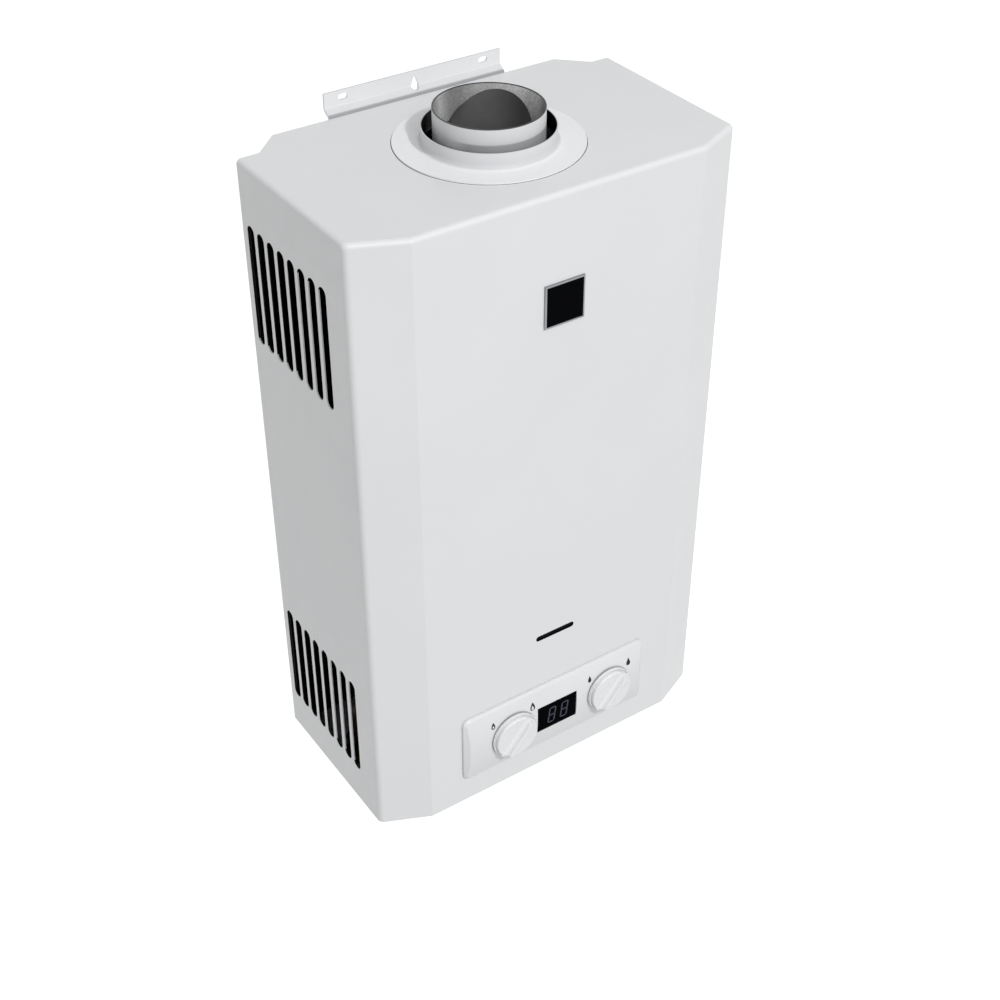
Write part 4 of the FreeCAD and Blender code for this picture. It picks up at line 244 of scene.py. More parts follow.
# %% [markdown]
# ## The studio
#
# The heater hangs as it would on a wall, well above the floor, in front of a white sweep. The floor is a
# wide pale plane that still takes the heater's shadow. To the camera, and in glossy reflections, the floor
# and the world show white at a strength of 1. The light that falls on the heater comes from elsewhere: an
# even soft sky, a key lamp in front and above, and a broad soft one at the left.

# %% World and floor
FLOOR_HEIGHT = -1.75
SKY = 0.44

world = bpy.data.worlds.new("white_studio")
world.use_nodes = True
scene.world = world
sky = world.node_tree
sky.nodes.clear()


def seen_directly(tree):
    """1 for camera, glossy and transmission rays, 0 for the light that falls on surfaces."""
    path = tree.nodes.new("ShaderNodeLightPath")
    total = None
    for ray in ("Is Camera Ray", "Is Glossy Ray", "Is Transmission Ray"):
        if total is None:
            total = path.outputs[ray]
            continue
        either = tree.nodes.new("ShaderNodeMath")
        either.operation = "MAXIMUM"
        tree.links.new(total, either.inputs[0])
        tree.links.new(path.outputs[ray], either.inputs[1])
        total = either.outputs[0]
    return total


strength = sky.nodes.new("ShaderNodeMapRange")
strength.inputs["To Min"].default_value = SKY
strength.inputs["To Max"].default_value = 1.0
background = sky.nodes.new("ShaderNodeBackground")
background.inputs["Color"].default_value = (1.0, 1.0, 1.0, 1.0)
world_out = sky.nodes.new("ShaderNodeOutputWorld")
sky.links.new(seen_directly(sky), strength.inputs["Value"])
sky.links.new(strength.outputs["Result"], background.inputs["Strength"])
sky.links.new(background.outputs[0], world_out.inputs[0])

floor_mesh = bpy.data.meshes.new("studio_floor")
HALF_WIDE = 30.0
corners = [(x * HALF_WIDE, y * HALF_WIDE, FLOOR_HEIGHT) for x, y in ((-1, -1), (1, -1), (1, 1), (-1, 1))]
floor_mesh.from_pydata(corners, [], [(0, 1, 2, 3)])
floor = bpy.data.objects.new("studio_floor", floor_mesh)
scene.collection.objects.link(floor)

paper = Finish("studio_paper", (206, 206, 206), 0.9)
paper.rough(paper.ramp(paper.noise(6.0), 0.0, 1.0, 0.86, 0.94))
tree = paper.tree
glow = tree.nodes.new("ShaderNodeEmission")
lift = tree.nodes.new("ShaderNodeMath")
lift.operation = "MULTIPLY"
lift.inputs[1].default_value = 0.72
tree.links.new(seen_directly(tree), lift.inputs[0])
tree.links.new(lift.outputs[0], glow.inputs["Strength"])
both = tree.nodes.new("ShaderNodeAddShader")
tree.links.new(paper.shader.outputs[0], both.inputs[0])
tree.links.new(glow.outputs[0], both.inputs[1])
tree.links.new(both.outputs[0], tree.nodes["Material Output"].inputs["Surface"])
floor_mesh.materials.append(paper.material)

# %% [markdown]
# ## The lamps
#
# A square lamp sends the light of its power spread over a half sphere, so the brightness that it gives a
# white surface facing it is power / (pi squared x distance squared). Turning that round gives the power
# for a wanted level. The key's direction was read from the shadow that the flue and its ring cast on the
# top, and a knob's shadow on the panel agrees with it. The lamp is small for its distance, so those
# shadows stay crisp.

# %% Lamps
AIM = Vector((0.0, -0.10, -0.28))


def soft_lamp(name, toward, distance, level, size):
    """A square lamp at a distance from the aim; power = level x pi squared x distance squared."""
    data = bpy.data.lights.new(name, "AREA")
    data.energy = level * (math.pi * distance) ** 2
    data.size = size
    lamp = bpy.data.objects.new(name, data)
    direction = Vector(toward).normalized()
    lamp.location = AIM + direction * distance
    lamp.rotation_euler = direction.to_track_quat("Z", "Y").to_euler()
    scene.collection.objects.link(lamp)
    return lamp


key = soft_lamp("key_lamp", (0.11, -0.72, 0.68), 6.0, 0.44, 0.35)
fill = soft_lamp("fill_lamp", (-0.38, -0.72, 0.58), 5.0, 0.236, 3.0)
print("key lamp:", round(key.data.energy, 1), "W, fill lamp:", round(fill.data.energy, 1), "W")

# %% [markdown]
# ## Powder-coated sheet
#
# The folded cover, the ring on top and the wall brackets are steel sheet under a baked white coat. Up
# close such a coat isn't flat: it has an orange peel of shallow waves two or three millimetres long, and a
# finer grain on top. Both are bumps from noise. The tone drifts by about one part in a hundred, and so
# does the gloss, which keeps the large front from looking like a plain fill.

# %% White enamel
WHITE = (225, 226, 227)


def white_enamel(name="white_enamel", coat_weight=0.15, **sockets):
    coat = Finish(name, WHITE, 0.36, Coat_Weight=coat_weight, Coat_Roughness=0.12, **sockets)
    drift = coat.noise(9.0, 3.0)
    coat.tint(coat.ramp(drift, 0.35, 0.65), (222, 224, 225))
    coat.rough(coat.ramp(coat.noise(60.0, 3.0), 0.3, 0.7, 0.32, 0.41))
    coat.bump(coat.noise(420.0, 2.0), 35)
    coat.bump(coat.noise(2600.0, 1.0), 4)
    return coat


finish = {"white_enamel": white_enamel().material}
print("enamel:", WHITE)

# %% [markdown]
# ## Where the enamel ends
#
# Three pieces wear the same coat, but each has a place that is dark. The cover is coated outside only, and
# so is the ring round the flue: inside they are a dull primer, which makes the louvres read as black. The
# upper bracket stands in a narrow gutter behind the top, so its foot is a fine dark line. All three start
# from the enamel and lay one more tone over it: where a face looks towards the middle of the casing, where
# a point is close to the flue's axis, and where it is low on the bracket. The ring's wall is also a little
# darker towards its foot than the flange is. A film of dust greys what faces upwards on narrow ledges, which
# would otherwise glare.

# %% Cover, bracket and flue ring
PRIMER = (20, 20, 21)
collar_low, collar_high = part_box("flue_collar")
flue_axis = (collar_low + collar_high) / 2
COLLAR_BORE = 48.5 * MM
CASING_TOP = collar_low.z


def primed_inside(part):
    """Dull black where a face looks at the middle of the casing, seen from where the face is."""
    cover_low, cover_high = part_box("front_cover")
    middle = (cover_low + cover_high) / 2
    inward = part.facing(part.place(centre=middle[:]))
    part.tint(part.ramp(inward, -0.004, -0.001, 1.0, 0.0), PRIMER)
    return part


def dusty(part, share, colour=(196, 196, 197)):
    """A thin film on what faces up, full from about 45 degrees."""
    part.tint(part.ramp(part.facing((0, 0, 1)), 0.25, 0.7, 0.0, share, smooth=True), colour)
    return part


def bracket_enamel():
    coat = dusty(white_enamel("bracket_enamel"), 0.5)
    height = coat.axis(coat.place(), 2)
    foot = coat.ramp(height, CASING_TOP + 1.4 * MM, CASING_TOP + 2.8 * MM, 0.8, 0.0, smooth=True)
    front = coat.ramp(coat.facing((0, -1, 0)), 0.1, 0.4)
    coat.tint(coat.maths("MULTIPLY", foot, front), (120, 122, 126))
    return coat.material


def collar_enamel():
    coat = white_enamel("collar_enamel", coat_weight=0.0, Specular_IOR_Level=0.15)
    away = coat.radius(flue_axis[:])
    height = coat.axis(coat.place(), 2)
    coat.tint(coat.ramp(away, COLLAR_BORE + 2.2 * MM, COLLAR_BORE + 4.8 * MM), (239, 240, 241))
    coat.tint(coat.ramp(away, COLLAR_BORE + 1.9 * MM, COLLAR_BORE + 2.5 * MM, 1.0, 0.0), (215, 216, 218))
    foot = coat.ramp(height, CASING_TOP + 3.0 * MM, CASING_TOP + 11.0 * MM, 1.0, 0.0)
    wall = coat.ramp(away, COLLAR_BORE + 1.9 * MM, COLLAR_BORE + 3.5 * MM, 1.0, 0.0)
    coat.tint(coat.maths("MULTIPLY", foot, wall), (203, 204, 206))
    coat.tint(coat.ramp(away, COLLAR_BORE + 0.15 * MM, COLLAR_BORE + 0.4 * MM, 1.0, 0.0), (2, 2, 2))
    return coat.material


finish["cover_enamel"] = primed_inside(white_enamel("cover_enamel")).material
finish["bracket_enamel"] = bracket_enamel()
finish["collar_enamel"] = collar_enamel()
print("flue axis at", [round(v / MM, 1) for v in flue_axis[:2]], "mm, top at", round(CASING_TOP / MM, 1))

# %% [markdown]
# ## Moulded plastic
#
# The control panel and the knobs are injection moulded. The panel has the fine, even grain of a spark
# eroded mould, the knobs are a little smoother and glossier. The grain is small cells with a soft noise in
# the roughness, as fingers polish such parts unevenly. The panel's tone falls slightly towards its lower
# edge. Each knob turns just clear of the panel, so a disc of shade is laid on the panel behind it; only its
# rim shows, as the dark line round the knob.

# %% Panel and knob plastic


def moulded(name, colour, roughness, grain, depth, other):
    part = Finish(name, colour, roughness, IOR=1.49)
    part.tint(part.ramp(part.noise(14.0, 2.0), 0.35, 0.65), other)
    part.rough(part.ramp(part.noise(120.0, 3.0), 0.3, 0.7, roughness - 0.04, roughness + 0.05))
    part.bump(part.cells(grain, output="Distance"), depth)
    part.bump(part.noise(grain * 0.35, 2.0), depth)
    return part


def knob_centre(knob):
    low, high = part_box(knob)
    return (low + high) / 2


panel = moulded("panel_plastic", (229, 230, 231), 0.33, 1900.0, 8, (226, 227, 229))
dusty(panel, 0.85, (217, 217, 218))
panel_low, panel_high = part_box("control_panel")
PANEL_MIDDLE = (panel_low.z + panel_high.z) / 2
lower = panel.ramp(panel.axis(panel.place(), 2), panel_low.z + 3 * MM, PANEL_MIDDLE + 22 * MM, 1.0, 0.0)
panel.tint(lower, (216, 217, 218))
for knob in ("gas_knob", "water_knob"):
    away = panel.radius(knob_centre(knob)[:], across=(1, 0, 1))
    panel.tint(panel.ramp(away, 22.1 * MM, 22.5 * MM, 0.42, 0.0), (70, 71, 74))
finish["panel_plastic"] = panel.material
knob_white = moulded("knob_plastic", (230, 231, 232), 0.27, 2400.0, 4, (227, 228, 230))
finish["knob_plastic"] = knob_white.material
black = moulded("black_plastic", (34, 34, 36), 0.5, 1500.0, 20, (28, 28, 30))
finish["black_plastic"] = black.material
print("finishes so far:", len(finish))

# %% [markdown]
# ## Zinc on sheet steel
#
# Hot-dip galvanised sheet freezes into crystals called spangle. Each crystal catches the light in its own
# way, so one set of Voronoi cells drives both the grey and the roughness. A finer set of cells and a thin
# noise break the large ones up.

# %% Galvanised sheet
SPANGLE = 110.0


def zinc_pattern(part, dark, light):
    """Colour and roughness of spangle: a random value for each cell, broken up by finer cells."""
    crystals = part.axis(part.cells(SPANGLE), 0)
    small = part.axis(part.cells(SPANGLE * 3.7), 0)
    share = part.maths("ADD", part.maths("MULTIPLY", crystals, 0.65), part.maths("MULTIPLY", small, 0.35))
    colour = part.mix(share, shade(*dark), shade(*light))
    rough = part.ramp(share, 0.0, 1.0, 0.55, 0.36)
    return colour, rough


def galvanised(name="galvanised"):
    zinc = Finish(name, (158, 161, 164), 0.45, 0.85)
    colour, rough = zinc_pattern(zinc, (142, 145, 149), (182, 185, 188))
    zinc.colour(colour)
    zinc.rough(rough)
    zinc.bump(zinc.noise(1500.0, 2.0), 10)
    return zinc


def stained_zinc():
    """The same sheet where flue gas has stained it: dark, dull, and cloudy."""
    zinc = Finish("stained_zinc", (52, 51, 50), 0.6, 0.5)
    colour, rough = zinc_pattern(zinc, (40, 40, 40), (66, 65, 64))
    clouds = zinc.ramp(zinc.noise(22.0, 4.0, 0.6), 0.35, 0.7)
    zinc.colour(zinc.mix(clouds, colour, shade(30, 29, 28)))
    zinc.rough(zinc.maths("ADD", rough, 0.15))
    zinc.bump(zinc.noise(1500.0, 2.0), 10)
    return zinc.material


BACK_FLANGE = 162.0 * MM
finish["galvanised"] = galvanised().material
back = primed_inside(galvanised("back_zinc"))
from_middle = back.maths("ABSOLUTE", back.axis(back.place(), 0))
back.tint(back.ramp(from_middle, BACK_FLANGE - 0.5 * MM, BACK_FLANGE), PRIMER)
finish["back_zinc"] = back.material
finish["stained_zinc"] = stained_zinc()
print("spangle: crystals about", round(1 / (SPANGLE * MM)), "mm across")

# %% [markdown]
# ## The flue pipe: two finishes on one piece
#
# The pipe is bare zinc inside and coated outside, where it shows above the ring. One material can do both:
# the distance of a point from the pipe's axis says which side of the thin wall it lies on. Inside, the
# rolled sheet has upright streaks, so a curve of greys runs round the axis, and small crystals break it up.
# Outside, the coat is in shade below the lip of the ring. The cut edge on top is a thin dark line.

# %% Flue pipe
BLACK = (0, 0, 0)
pipe_low, pipe_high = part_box("flue_pipe")
pipe_radius = (pipe_high.x - pipe_low.x) / 2
STREAKS = ((-180, 140), (-60, 150), (-25, 160), (-16, 180), (-10, 235), (-2, 254), (28, 254), (50, 205),
           (72, 185), (88, 142), (100, 142), (110, 170), (118, 214), (126, 185), (136, 170), (180, 140))


def flue_pipe_finish():
    pipe = Finish("flue_pipe_sheet", WHITE, 0.42)
    outside = pipe.ramp(pipe.radius(flue_axis[:]), pipe_radius - 0.55 * MM, pipe_radius - 0.25 * MM)
    streaks = pipe.steps(pipe.around(flue_axis[:]), -180, 180, STREAKS)
    crystals = pipe.axis(pipe.cells(900.0), 0)
    fine = pipe.noise(1500.0, 3.0, 0.7)
    speckle = pipe.ramp(pipe.maths("ADD", crystals, fine), 0.55, 1.5, 0.0, 0.3)
    broken = pipe.mix(speckle, streaks, shade(*BLACK))
    height = pipe.axis(pipe.place(), 2)
    shaded = pipe.ramp(height, CASING_TOP + 14.2 * MM, CASING_TOP + 15.9 * MM, 1.0, 0.0, smooth=True)
    left = pipe.axis(pipe.place(centre=flue_axis[:]), 0)
    shade_tone = pipe.mix(pipe.ramp(left, -pipe_radius, -0.8 * pipe_radius, 1.0, 0.0, smooth=True),
                          shade(167, 168, 170), shade(214, 215, 217))
    coat = pipe.mix(shaded, shade(217, 218, 220), shade_tone)
    deep = pipe.ramp(height, CASING_TOP + 1.0 * MM, CASING_TOP + 6.0 * MM, 1.0, 0.0, smooth=True)
    coat = pipe.mix(deep, coat, shade(24, 24, 25))
    edge = pipe.ramp(height, pipe_high.z - 0.7 * MM, pipe_high.z - 0.4 * MM)
    sides = pipe.mix(outside, broken, coat)
    pipe.colour(pipe.mix(edge, sides, shade(40, 41, 43)))
    pipe.rough(pipe.ramp(pipe.maths("ADD", crystals, fine), 0.4, 1.6, 0.38, 0.55))
    pipe.bump(pipe.noise(900.0, 2.0), 20)
    return pipe.material


finish["flue_pipe"] = flue_pipe_finish()
print("pipe radius:", round(pipe_radius / MM, 1), "mm")

# %% [markdown]
# ## Other metals
#
# Rolled stainless and drawn copper carry fine lines along the way they were worked, so their noise is
# stretched in one direction. Cast alloy is grainy in all directions. Bright zinc on small screws is a
# smooth plating with a faint blue. Copper near a flame darkens in clouds, and the hot water pipe is duller
# than the rest. A small recipe covers them all: two tones mixed by a slow noise, a stretched noise for the
# lines, and a fine bump. Soot makes the damper's flap darker towards the right and the front, and the
# water and gas fittings are dull where they reach inside the casing.

# %% Metals


def metal(name, colour, other, roughness, stretch=(1, 1, 1), line=900.0, depth=6, cloud=25.0):
    part = Finish(name, colour, roughness, 1.0)
    lines = part.noise(line, 2.0, place=part.place(scale=stretch))
    clouds = part.ramp(part.noise(cloud, 4.0, 0.6), 0.38, 0.68)
    part.tint(clouds, other)
    part.tint(part.ramp(lines, 0.3, 0.7, 0.0, 0.16), BLACK)
    part.rough(part.ramp(lines, 0.3, 0.7, roughness - 0.06, roughness + 0.08))
    part.bump(lines, depth)
    return part


metals = {
    "badge_silver": metal("badge_silver", (160, 162, 165), (142, 144, 148), 0.38, (1, 1, 14), 700.0),
    "stainless": metal("stainless", (186, 182, 176), (164, 158, 150), 0.32, (1, 0.06, 1), 1600.0),
    "zinc_screw": metal("zinc_screw", (196, 199, 204), (176, 180, 186), 0.28, (1, 1, 1), 2200.0, 3),
    "damper_steel": metal("damper_steel", (106, 106, 107), (94, 94, 96), 0.5, (1, 1, 1), 2600.0, 30),
    "copper": metal("copper", (196, 124, 92), (150, 88, 62), 0.34, (1, 1, 0.08), 1300.0, cloud=30.0),
    "dull_copper": metal("dull_copper", (58, 44, 37), (42, 34, 31), 0.6, (1, 1, 0.08), 1300.0, cloud=30.0),
    "brass": metal("brass", (206, 172, 98), (176, 142, 76), 0.3, (1, 1, 0.3), 2000.0),
    "fitting_brass": metal("fitting_brass", (206, 172, 98), (176, 142, 76), 0.3, (1, 1, 0.3), 2000.0),
    "cast_alloy": metal("cast_alloy", (170, 171, 173), (148, 149, 152), 0.5, (1, 1, 1), 1400.0, 40),
}
fitting = metals["fitting_brass"]
floor_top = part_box("floor_plate")[1].z
above = fitting.ramp(fitting.axis(fitting.place(), 2), floor_top - 1.0 * MM, floor_top + 4.0 * MM, 0.0, 0.9)
fitting.tint(above, (30, 27, 22))
flap = metals["damper_steel"]
flap_low, flap_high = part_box("damper_flap")
from_flap = flap.place(centre=((flap_low + flap_high) / 2)[:])
forward = flap.maths("SUBTRACT", flap.axis(from_flap, 0), flap.axis(from_flap, 1))
flap.tint(flap.ramp(forward, -28 * MM, 36 * MM, 0.0, 0.8), (22, 22, 23))
for name, part in metals.items():
    finish[name] = part.material
print("finishes so far:", len(finish))

# %% [markdown]
# ## Lens, badge plate, rubber, ceramic, glass, leads and cells
#
# The remaining finishes are small but each has its own character: a smoked lens is nearly black and soaks
# up what falls on it, the badge plate is a nearly black gloss with a faint brushing under it, rubber
# is dull with a dusty bloom, glazed ceramic is off-white with tiny pits, and the two dry cells wear a plain
# two-tone sleeve with bare steel at the ends. The sight glass over the burner looks black from outside,
# since the chamber behind it is unlit while the burner is off.

# %% Smoked lens, badge plate and sight glass


def smoked_lens():
    lens = Finish("smoked_lens", (1, 1, 4), 0.25, Specular_IOR_Level=0.005)
    lens.tint(lens.ramp(lens.noise(60.0, 2.0), 0.3, 0.7), (2, 3, 6))
    lens.rough(lens.ramp(lens.noise(900.0, 3.0), 0.35, 0.75, 0.16, 0.26))
    lens.bump(lens.noise(30.0, 1.0), 30)
    return lens.material


def dark_badge():
    plate = Finish("dark_badge", (2, 2, 4), 0.3, Specular_IOR_Level=0.01)
    brushed = plate.noise(260.0, 2.0, place=plate.place(scale=(1, 1, 22)))
    plate.tint(plate.ramp(brushed, 0.3, 0.7), (5, 6, 9))
    plate.rough(plate.ramp(brushed, 0.3, 0.7, 0.26, 0.36))
    plate.bump(brushed, 4)
    return plate.material


def sight_glass():
    glass = Finish("sight_glass", (6, 6, 7), 0.12, Specular_IOR_Level=0.02)
    glass.tint(glass.ramp(glass.noise(140.0, 4.0), 0.45, 0.75), (13, 12, 11))
    glass.rough(glass.ramp(glass.noise(500.0, 3.0), 0.35, 0.75, 0.1, 0.3))
    glass.bump(glass.noise(60.0, 1.0), 20)
    return glass.material


finish["smoked_lens"] = smoked_lens()
finish["dark_badge"] = dark_badge()
finish["sight_glass"] = sight_glass()

# %% Rubber, ceramic, glass, leads


def rubber_black():
    rubber = Finish("rubber_black", (30, 30, 30), 0.8, Sheen_Weight=0.1)
    rubber.tint(rubber.ramp(rubber.noise(180.0, 4.0), 0.45, 0.8), (52, 51, 50))
    rubber.bump(rubber.noise(1500.0, 3.0), 30)
    return rubber.material


def ceramic_white():
    glaze = Finish("ceramic_white", (232, 229, 220), 0.22, Coat_Weight=0.5, Coat_Roughness=0.05)
    glaze.tint(glaze.ramp(glaze.noise(70.0, 3.0), 0.5, 0.8), (220, 214, 200))
    glaze.tint(glaze.ramp(glaze.cells(900.0, output="Distance"), 0.0, 0.12, 0.5, 0.0), (170, 160, 145))
    glaze.bump(glaze.noise(500.0, 2.0), 10)
    return glaze.material


def clear_glass():
    glass = Finish("clear_glass", (214, 226, 224), 0.04, IOR=1.47, Transmission_Weight=0.9)
    glass.rough(glass.ramp(glass.noise(700.0, 3.0), 0.5, 0.8, 0.03, 0.16))
    glass.bump(glass.noise(25.0, 1.0), 10)
    return glass.material


def lead_silicone():
    sleeve = Finish("lead_silicone", (206, 203, 194), 0.55)
    sleeve.tint(sleeve.ramp(sleeve.noise(90.0, 3.0), 0.4, 0.75), (184, 178, 165))
    sleeve.bump(sleeve.noise(2200.0, 2.0), 10)
    return sleeve.material


finish["rubber_black"] = rubber_black()
finish["ceramic_white"] = ceramic_white()
finish["clear_glass"] = clear_glass()
finish["lead_silicone"] = lead_silicone()

# %% Circuit board and dry cells
cell_low, cell_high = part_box("battery_cells")


def board_green():
    board = Finish("board_green", (28, 84, 48), 0.38, Coat_Weight=0.3)
    tracks = board.cells(260.0, "DISTANCE_TO_EDGE", "Distance", random=0.35)
    board.tint(board.ramp(tracks, 0.03, 0.07, 1.0, 0.0), (58, 122, 76))
    pads = board.cells(420.0, output="Distance", random=0.0)
    board.tint(board.ramp(pads, 0.16, 0.2, 1.0, 0.0), (186, 182, 160))
    board.bump(board.ramp(tracks, 0.03, 0.07, 1.0, 0.0), 30)
    return board.material


def cell_wrap():
    cell = Finish("cell_wrap", (46, 52, 50), 0.3)
    up = cell.ramp(cell.axis(cell.place(), 2), cell_low.z, cell_high.z)
    band = cell.ramp(up, 0.74, 0.745)
    sleeve = cell.mix(band, shade(46, 52, 50), shade(186, 150, 72))
    ends = cell.maths("MAXIMUM", cell.ramp(up, 0.02, 0.024, 1.0, 0.0), cell.ramp(up, 0.955, 0.96))
    cell.colour(cell.mix(ends, sleeve, shade(190, 190, 188)))
    cell.feed(cell.shader.inputs["Metallic"], cell.ramp(ends, 0.0, 1.0, 0.1, 0.95))
    cell.rough(cell.ramp(cell.noise(300.0, 3.0), 0.3, 0.7, 0.24, 0.38))
    cell.bump(cell.noise(120.0, 2.0), 30)
    return cell.material


finish["board_green"] = board_green()
finish["cell_wrap"] = cell_wrap()
print("finishes so far:", len(finish))

# %% [markdown]
# ## Giving each packed piece its finish
#
# The record already says which finish a piece has, by a slot name. A loop puts the material of that name
# on the piece. Some pieces have a finish of their own, because heat or light treats them unlike the rest.

# %% Dress the frame
slot_of = {row["node"]: row["material_slot"] for row in frame["record"]["subparts"]}
slot_of.update(flue_pipe="flue_pipe", flue_collar="collar_enamel", upper_bracket="bracket_enamel",
               sight_glass="sight_glass", draught_hood="stained_zinc", front_cover="cover_enamel",
               back_plate="back_zinc", hot_pipe="dull_copper")
for name, piece in frame["nodes"].items():
    for place in range(len(piece.data.materials)):
        piece.data.materials[place] = finish[slot_of[name]]
print("dressed", len(slot_of), "pieces")

# %% [markdown]
# ## From a formula to a mesh
#
# The added pieces are surfaces worked out on a grid. The points of a whole surface come from numpy in one
# go, as an array of rows and columns. The first helper joins each point to its neighbours with index
# arithmetic. It closes every row into a loop, and joins the last row to the first where that is asked.
# The second makes the mesh. A closed piece should enclose a positive volume; if it comes out negative,
# all its faces look inwards and are flipped.

# %% Grid to mesh


def grid_faces(rows, columns, wrap_rows=False, start=0):
    """Four corners of each cell: (r, c), (r, c+1), (r+1, c+1), (r+1, c), as numbers of the points."""
    r, c = np.meshgrid(np.arange(rows if wrap_rows else rows - 1), np.arange(columns), indexing="ij")
    right = (c + 1) % columns
    this, below = r * columns, (r + 1) % rows * columns
    corners = np.stack([this + c, this + right, below + right, below + c], -1)
    return (corners.reshape(-1, 4) + start).tolist()


def make_piece(name, points, faces, material, body, smooth=True):
    """A mesh object from points and faces, turned outwards, with its finish, riding on a body."""
    mesh = bpy.data.meshes.new(name)
    mesh.from_pydata(np.asarray(points, float).reshape(-1, 3).tolist(), [], faces)
    mesh.validate()
    mesh.calc_loop_triangles()
    corner = np.zeros(len(mesh.loop_triangles) * 3, np.int32)
    mesh.loop_triangles.foreach_get("vertices", corner)
    spots = np.zeros(len(mesh.vertices) * 3)
    mesh.vertices.foreach_get("co", spots)
    a, b, c = spots.reshape(-1, 3)[corner.reshape(-1, 3)].transpose(1, 0, 2)
    volume = float(np.einsum("ij,ij->i", a, np.cross(b, c)).sum()) / 6
    if volume < 0:
        mesh.flip_normals()
    if smooth:
        mesh.polygons.foreach_set("use_smooth", [True] * len(mesh.polygons))
        mesh.set_sharp_from_angle(angle=math.radians(35))
    mesh.materials.append(material)
    piece = bpy.data.objects.new(name, mesh)
    scene.collection.objects.link(piece)
    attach(piece, body)
    print(name, len(mesh.polygons), "faces,", round(abs(volume) * 1e9, 2), "cubic mm")
    return piece


# %% [markdown]
# ## Printed marks on the panel
#
# Beside each knob the panel carries two printed marks: a small and a large flame over the gas knob, a
# small and a large drop over the water knob. They show which way turns it up. Ink stands a few hundredths
# of a millimetre proud. The panel's face is arched, so each point of a mark is dropped onto it along Y, by a
# ray, before it is given its thickness. A drop is a closed outline: its height follows the cosine of an
# angle, its width the sine, narrowed towards the tip. A flame is a band between two such outlines, one
# inside the other, and open at its foot.

# %% Marks
ink = Finish("mark_ink", (20, 24, 34), 0.5, Specular_IOR_Level=0.15)
ink.tint(ink.ramp(ink.noise(900.0, 3.0), 0.4, 0.75), (28, 33, 46))
ink.bump(ink.noise(2500.0, 2.0), 4)
panel_mesh = frame["nodes"]["control_panel"].data
panel_tree = BVHTree.FromPolygons([v.co for v in panel_mesh.vertices],
                                  [p.vertices for p in panel_mesh.polygons])
INK_FRONT, INK_BACK = 0.05 * MM, -0.02 * MM


def drop_width(t, tip):
    """Width of a drop = sin t x sin(t / 2) to a power; t = 0 is its tip, and a higher power thins it."""
    return np.sin(t) * np.abs(np.sin(t / 2)) ** tip


def drop_outline(wide, tall, count=40):
    """Height = cos t, for t from 0 at the tip round to the tip again; the width is scaled to fit."""
    t = np.linspace(0, 2 * math.pi, count, endpoint=False)
    across = drop_width(t, 1.6)
    return np.stack([across / across.max() * wide / 2, np.cos(t) * tall / 2], -1)


def onto_panel(flat, x, z, proud):
    """Flat points moved to their place, dropped onto the panel along Y, and lifted a little off it."""
    placed = []
    for across, up in flat:
        hit = panel_tree.ray_cast(Vector((x + across, panel_low.y - 0.05, z + up)), Vector((0, 1, 0)))[0]
        placed.append((x + across, hit.y - proud, z + up))
    return placed


def drop_mark(wide, tall, x, z):
    """A closed outline, once in front and once behind, with both ends capped."""
    flat = drop_outline(wide, tall)
    count = len(flat)
    points = onto_panel(flat, x, z, INK_FRONT) + onto_panel(flat, x, z, INK_BACK)
    return points, grid_faces(2, count) + [list(range(count)), list(range(2 * count - 1, count - 1, -1))]


def flame_mark(wide, tall, x, z, hollow, first, last, count=44):
    """A band between an outer drop and a smaller one below its tip, from one angle round to another."""
    t = np.radians(np.linspace(first, last, count))
    loops = []
    for share, sunk in ((1.0, 0.0), (hollow, 0.16)):
        across = drop_width(t, 1.3) * wide * share * 0.62
        loops.append(np.stack([across, np.cos(t) * tall * share / 2 - tall * sunk], -1))
    outer, inner = loops
    ring = [onto_panel(flat, x, z, proud) for flat, proud in ((outer, INK_FRONT), (inner, INK_FRONT),
                                                              (inner, INK_BACK), (outer, INK_BACK))]
    points = np.asarray(ring).transpose(1, 0, 2).reshape(-1, 3)
    end = (count - 1) * 4
    return points, grid_faces(count, 4) + [[3, 2, 1, 0], [end, end + 1, end + 2, end + 3]]


# %% Lay the marks beside the knobs
gas_x, water_x = knob_centre("gas_knob").x, knob_centre("water_knob").x
MARK_HEIGHT = PANEL_MIDDLE + 18.3 * MM
marks = {
    "small_flame": flame_mark(4.3 * MM, 7.4 * MM, gas_x - 20.4 * MM, MARK_HEIGHT - 0.3 * MM, 0.46, 40, 405),
    "large_flame": flame_mark(5.3 * MM, 9.2 * MM, gas_x + 19.7 * MM, MARK_HEIGHT + 0.6 * MM, 0.52, 205, 515),
    "large_flame_spark": drop_mark(1.0 * MM, 1.4 * MM, gas_x + 19.7 * MM, MARK_HEIGHT - 3.5 * MM),
    "small_drop": drop_mark(3.4 * MM, 7.3 * MM, water_x - 19.8 * MM, MARK_HEIGHT + 0.5 * MM),
    "large_drop": drop_mark(4.1 * MM, 8.5 * MM, water_x + 22.0 * MM, MARK_HEIGHT - 0.2 * MM),
}
for name, (points, faces) in marks.items():
    make_piece(name, points, faces, ink.material, "appliance", smooth=False)

# %% [markdown]
# ## Segments of the display
#
# Two figures of seven segments each lie behind the smoked lens. Switched off they are only a little
# lighter than the window. A segment is a long hexagon, so one list of six corners makes all fourteen;
# upright ones swap its two directions. The figures lean forward by a few degrees, as such displays do.

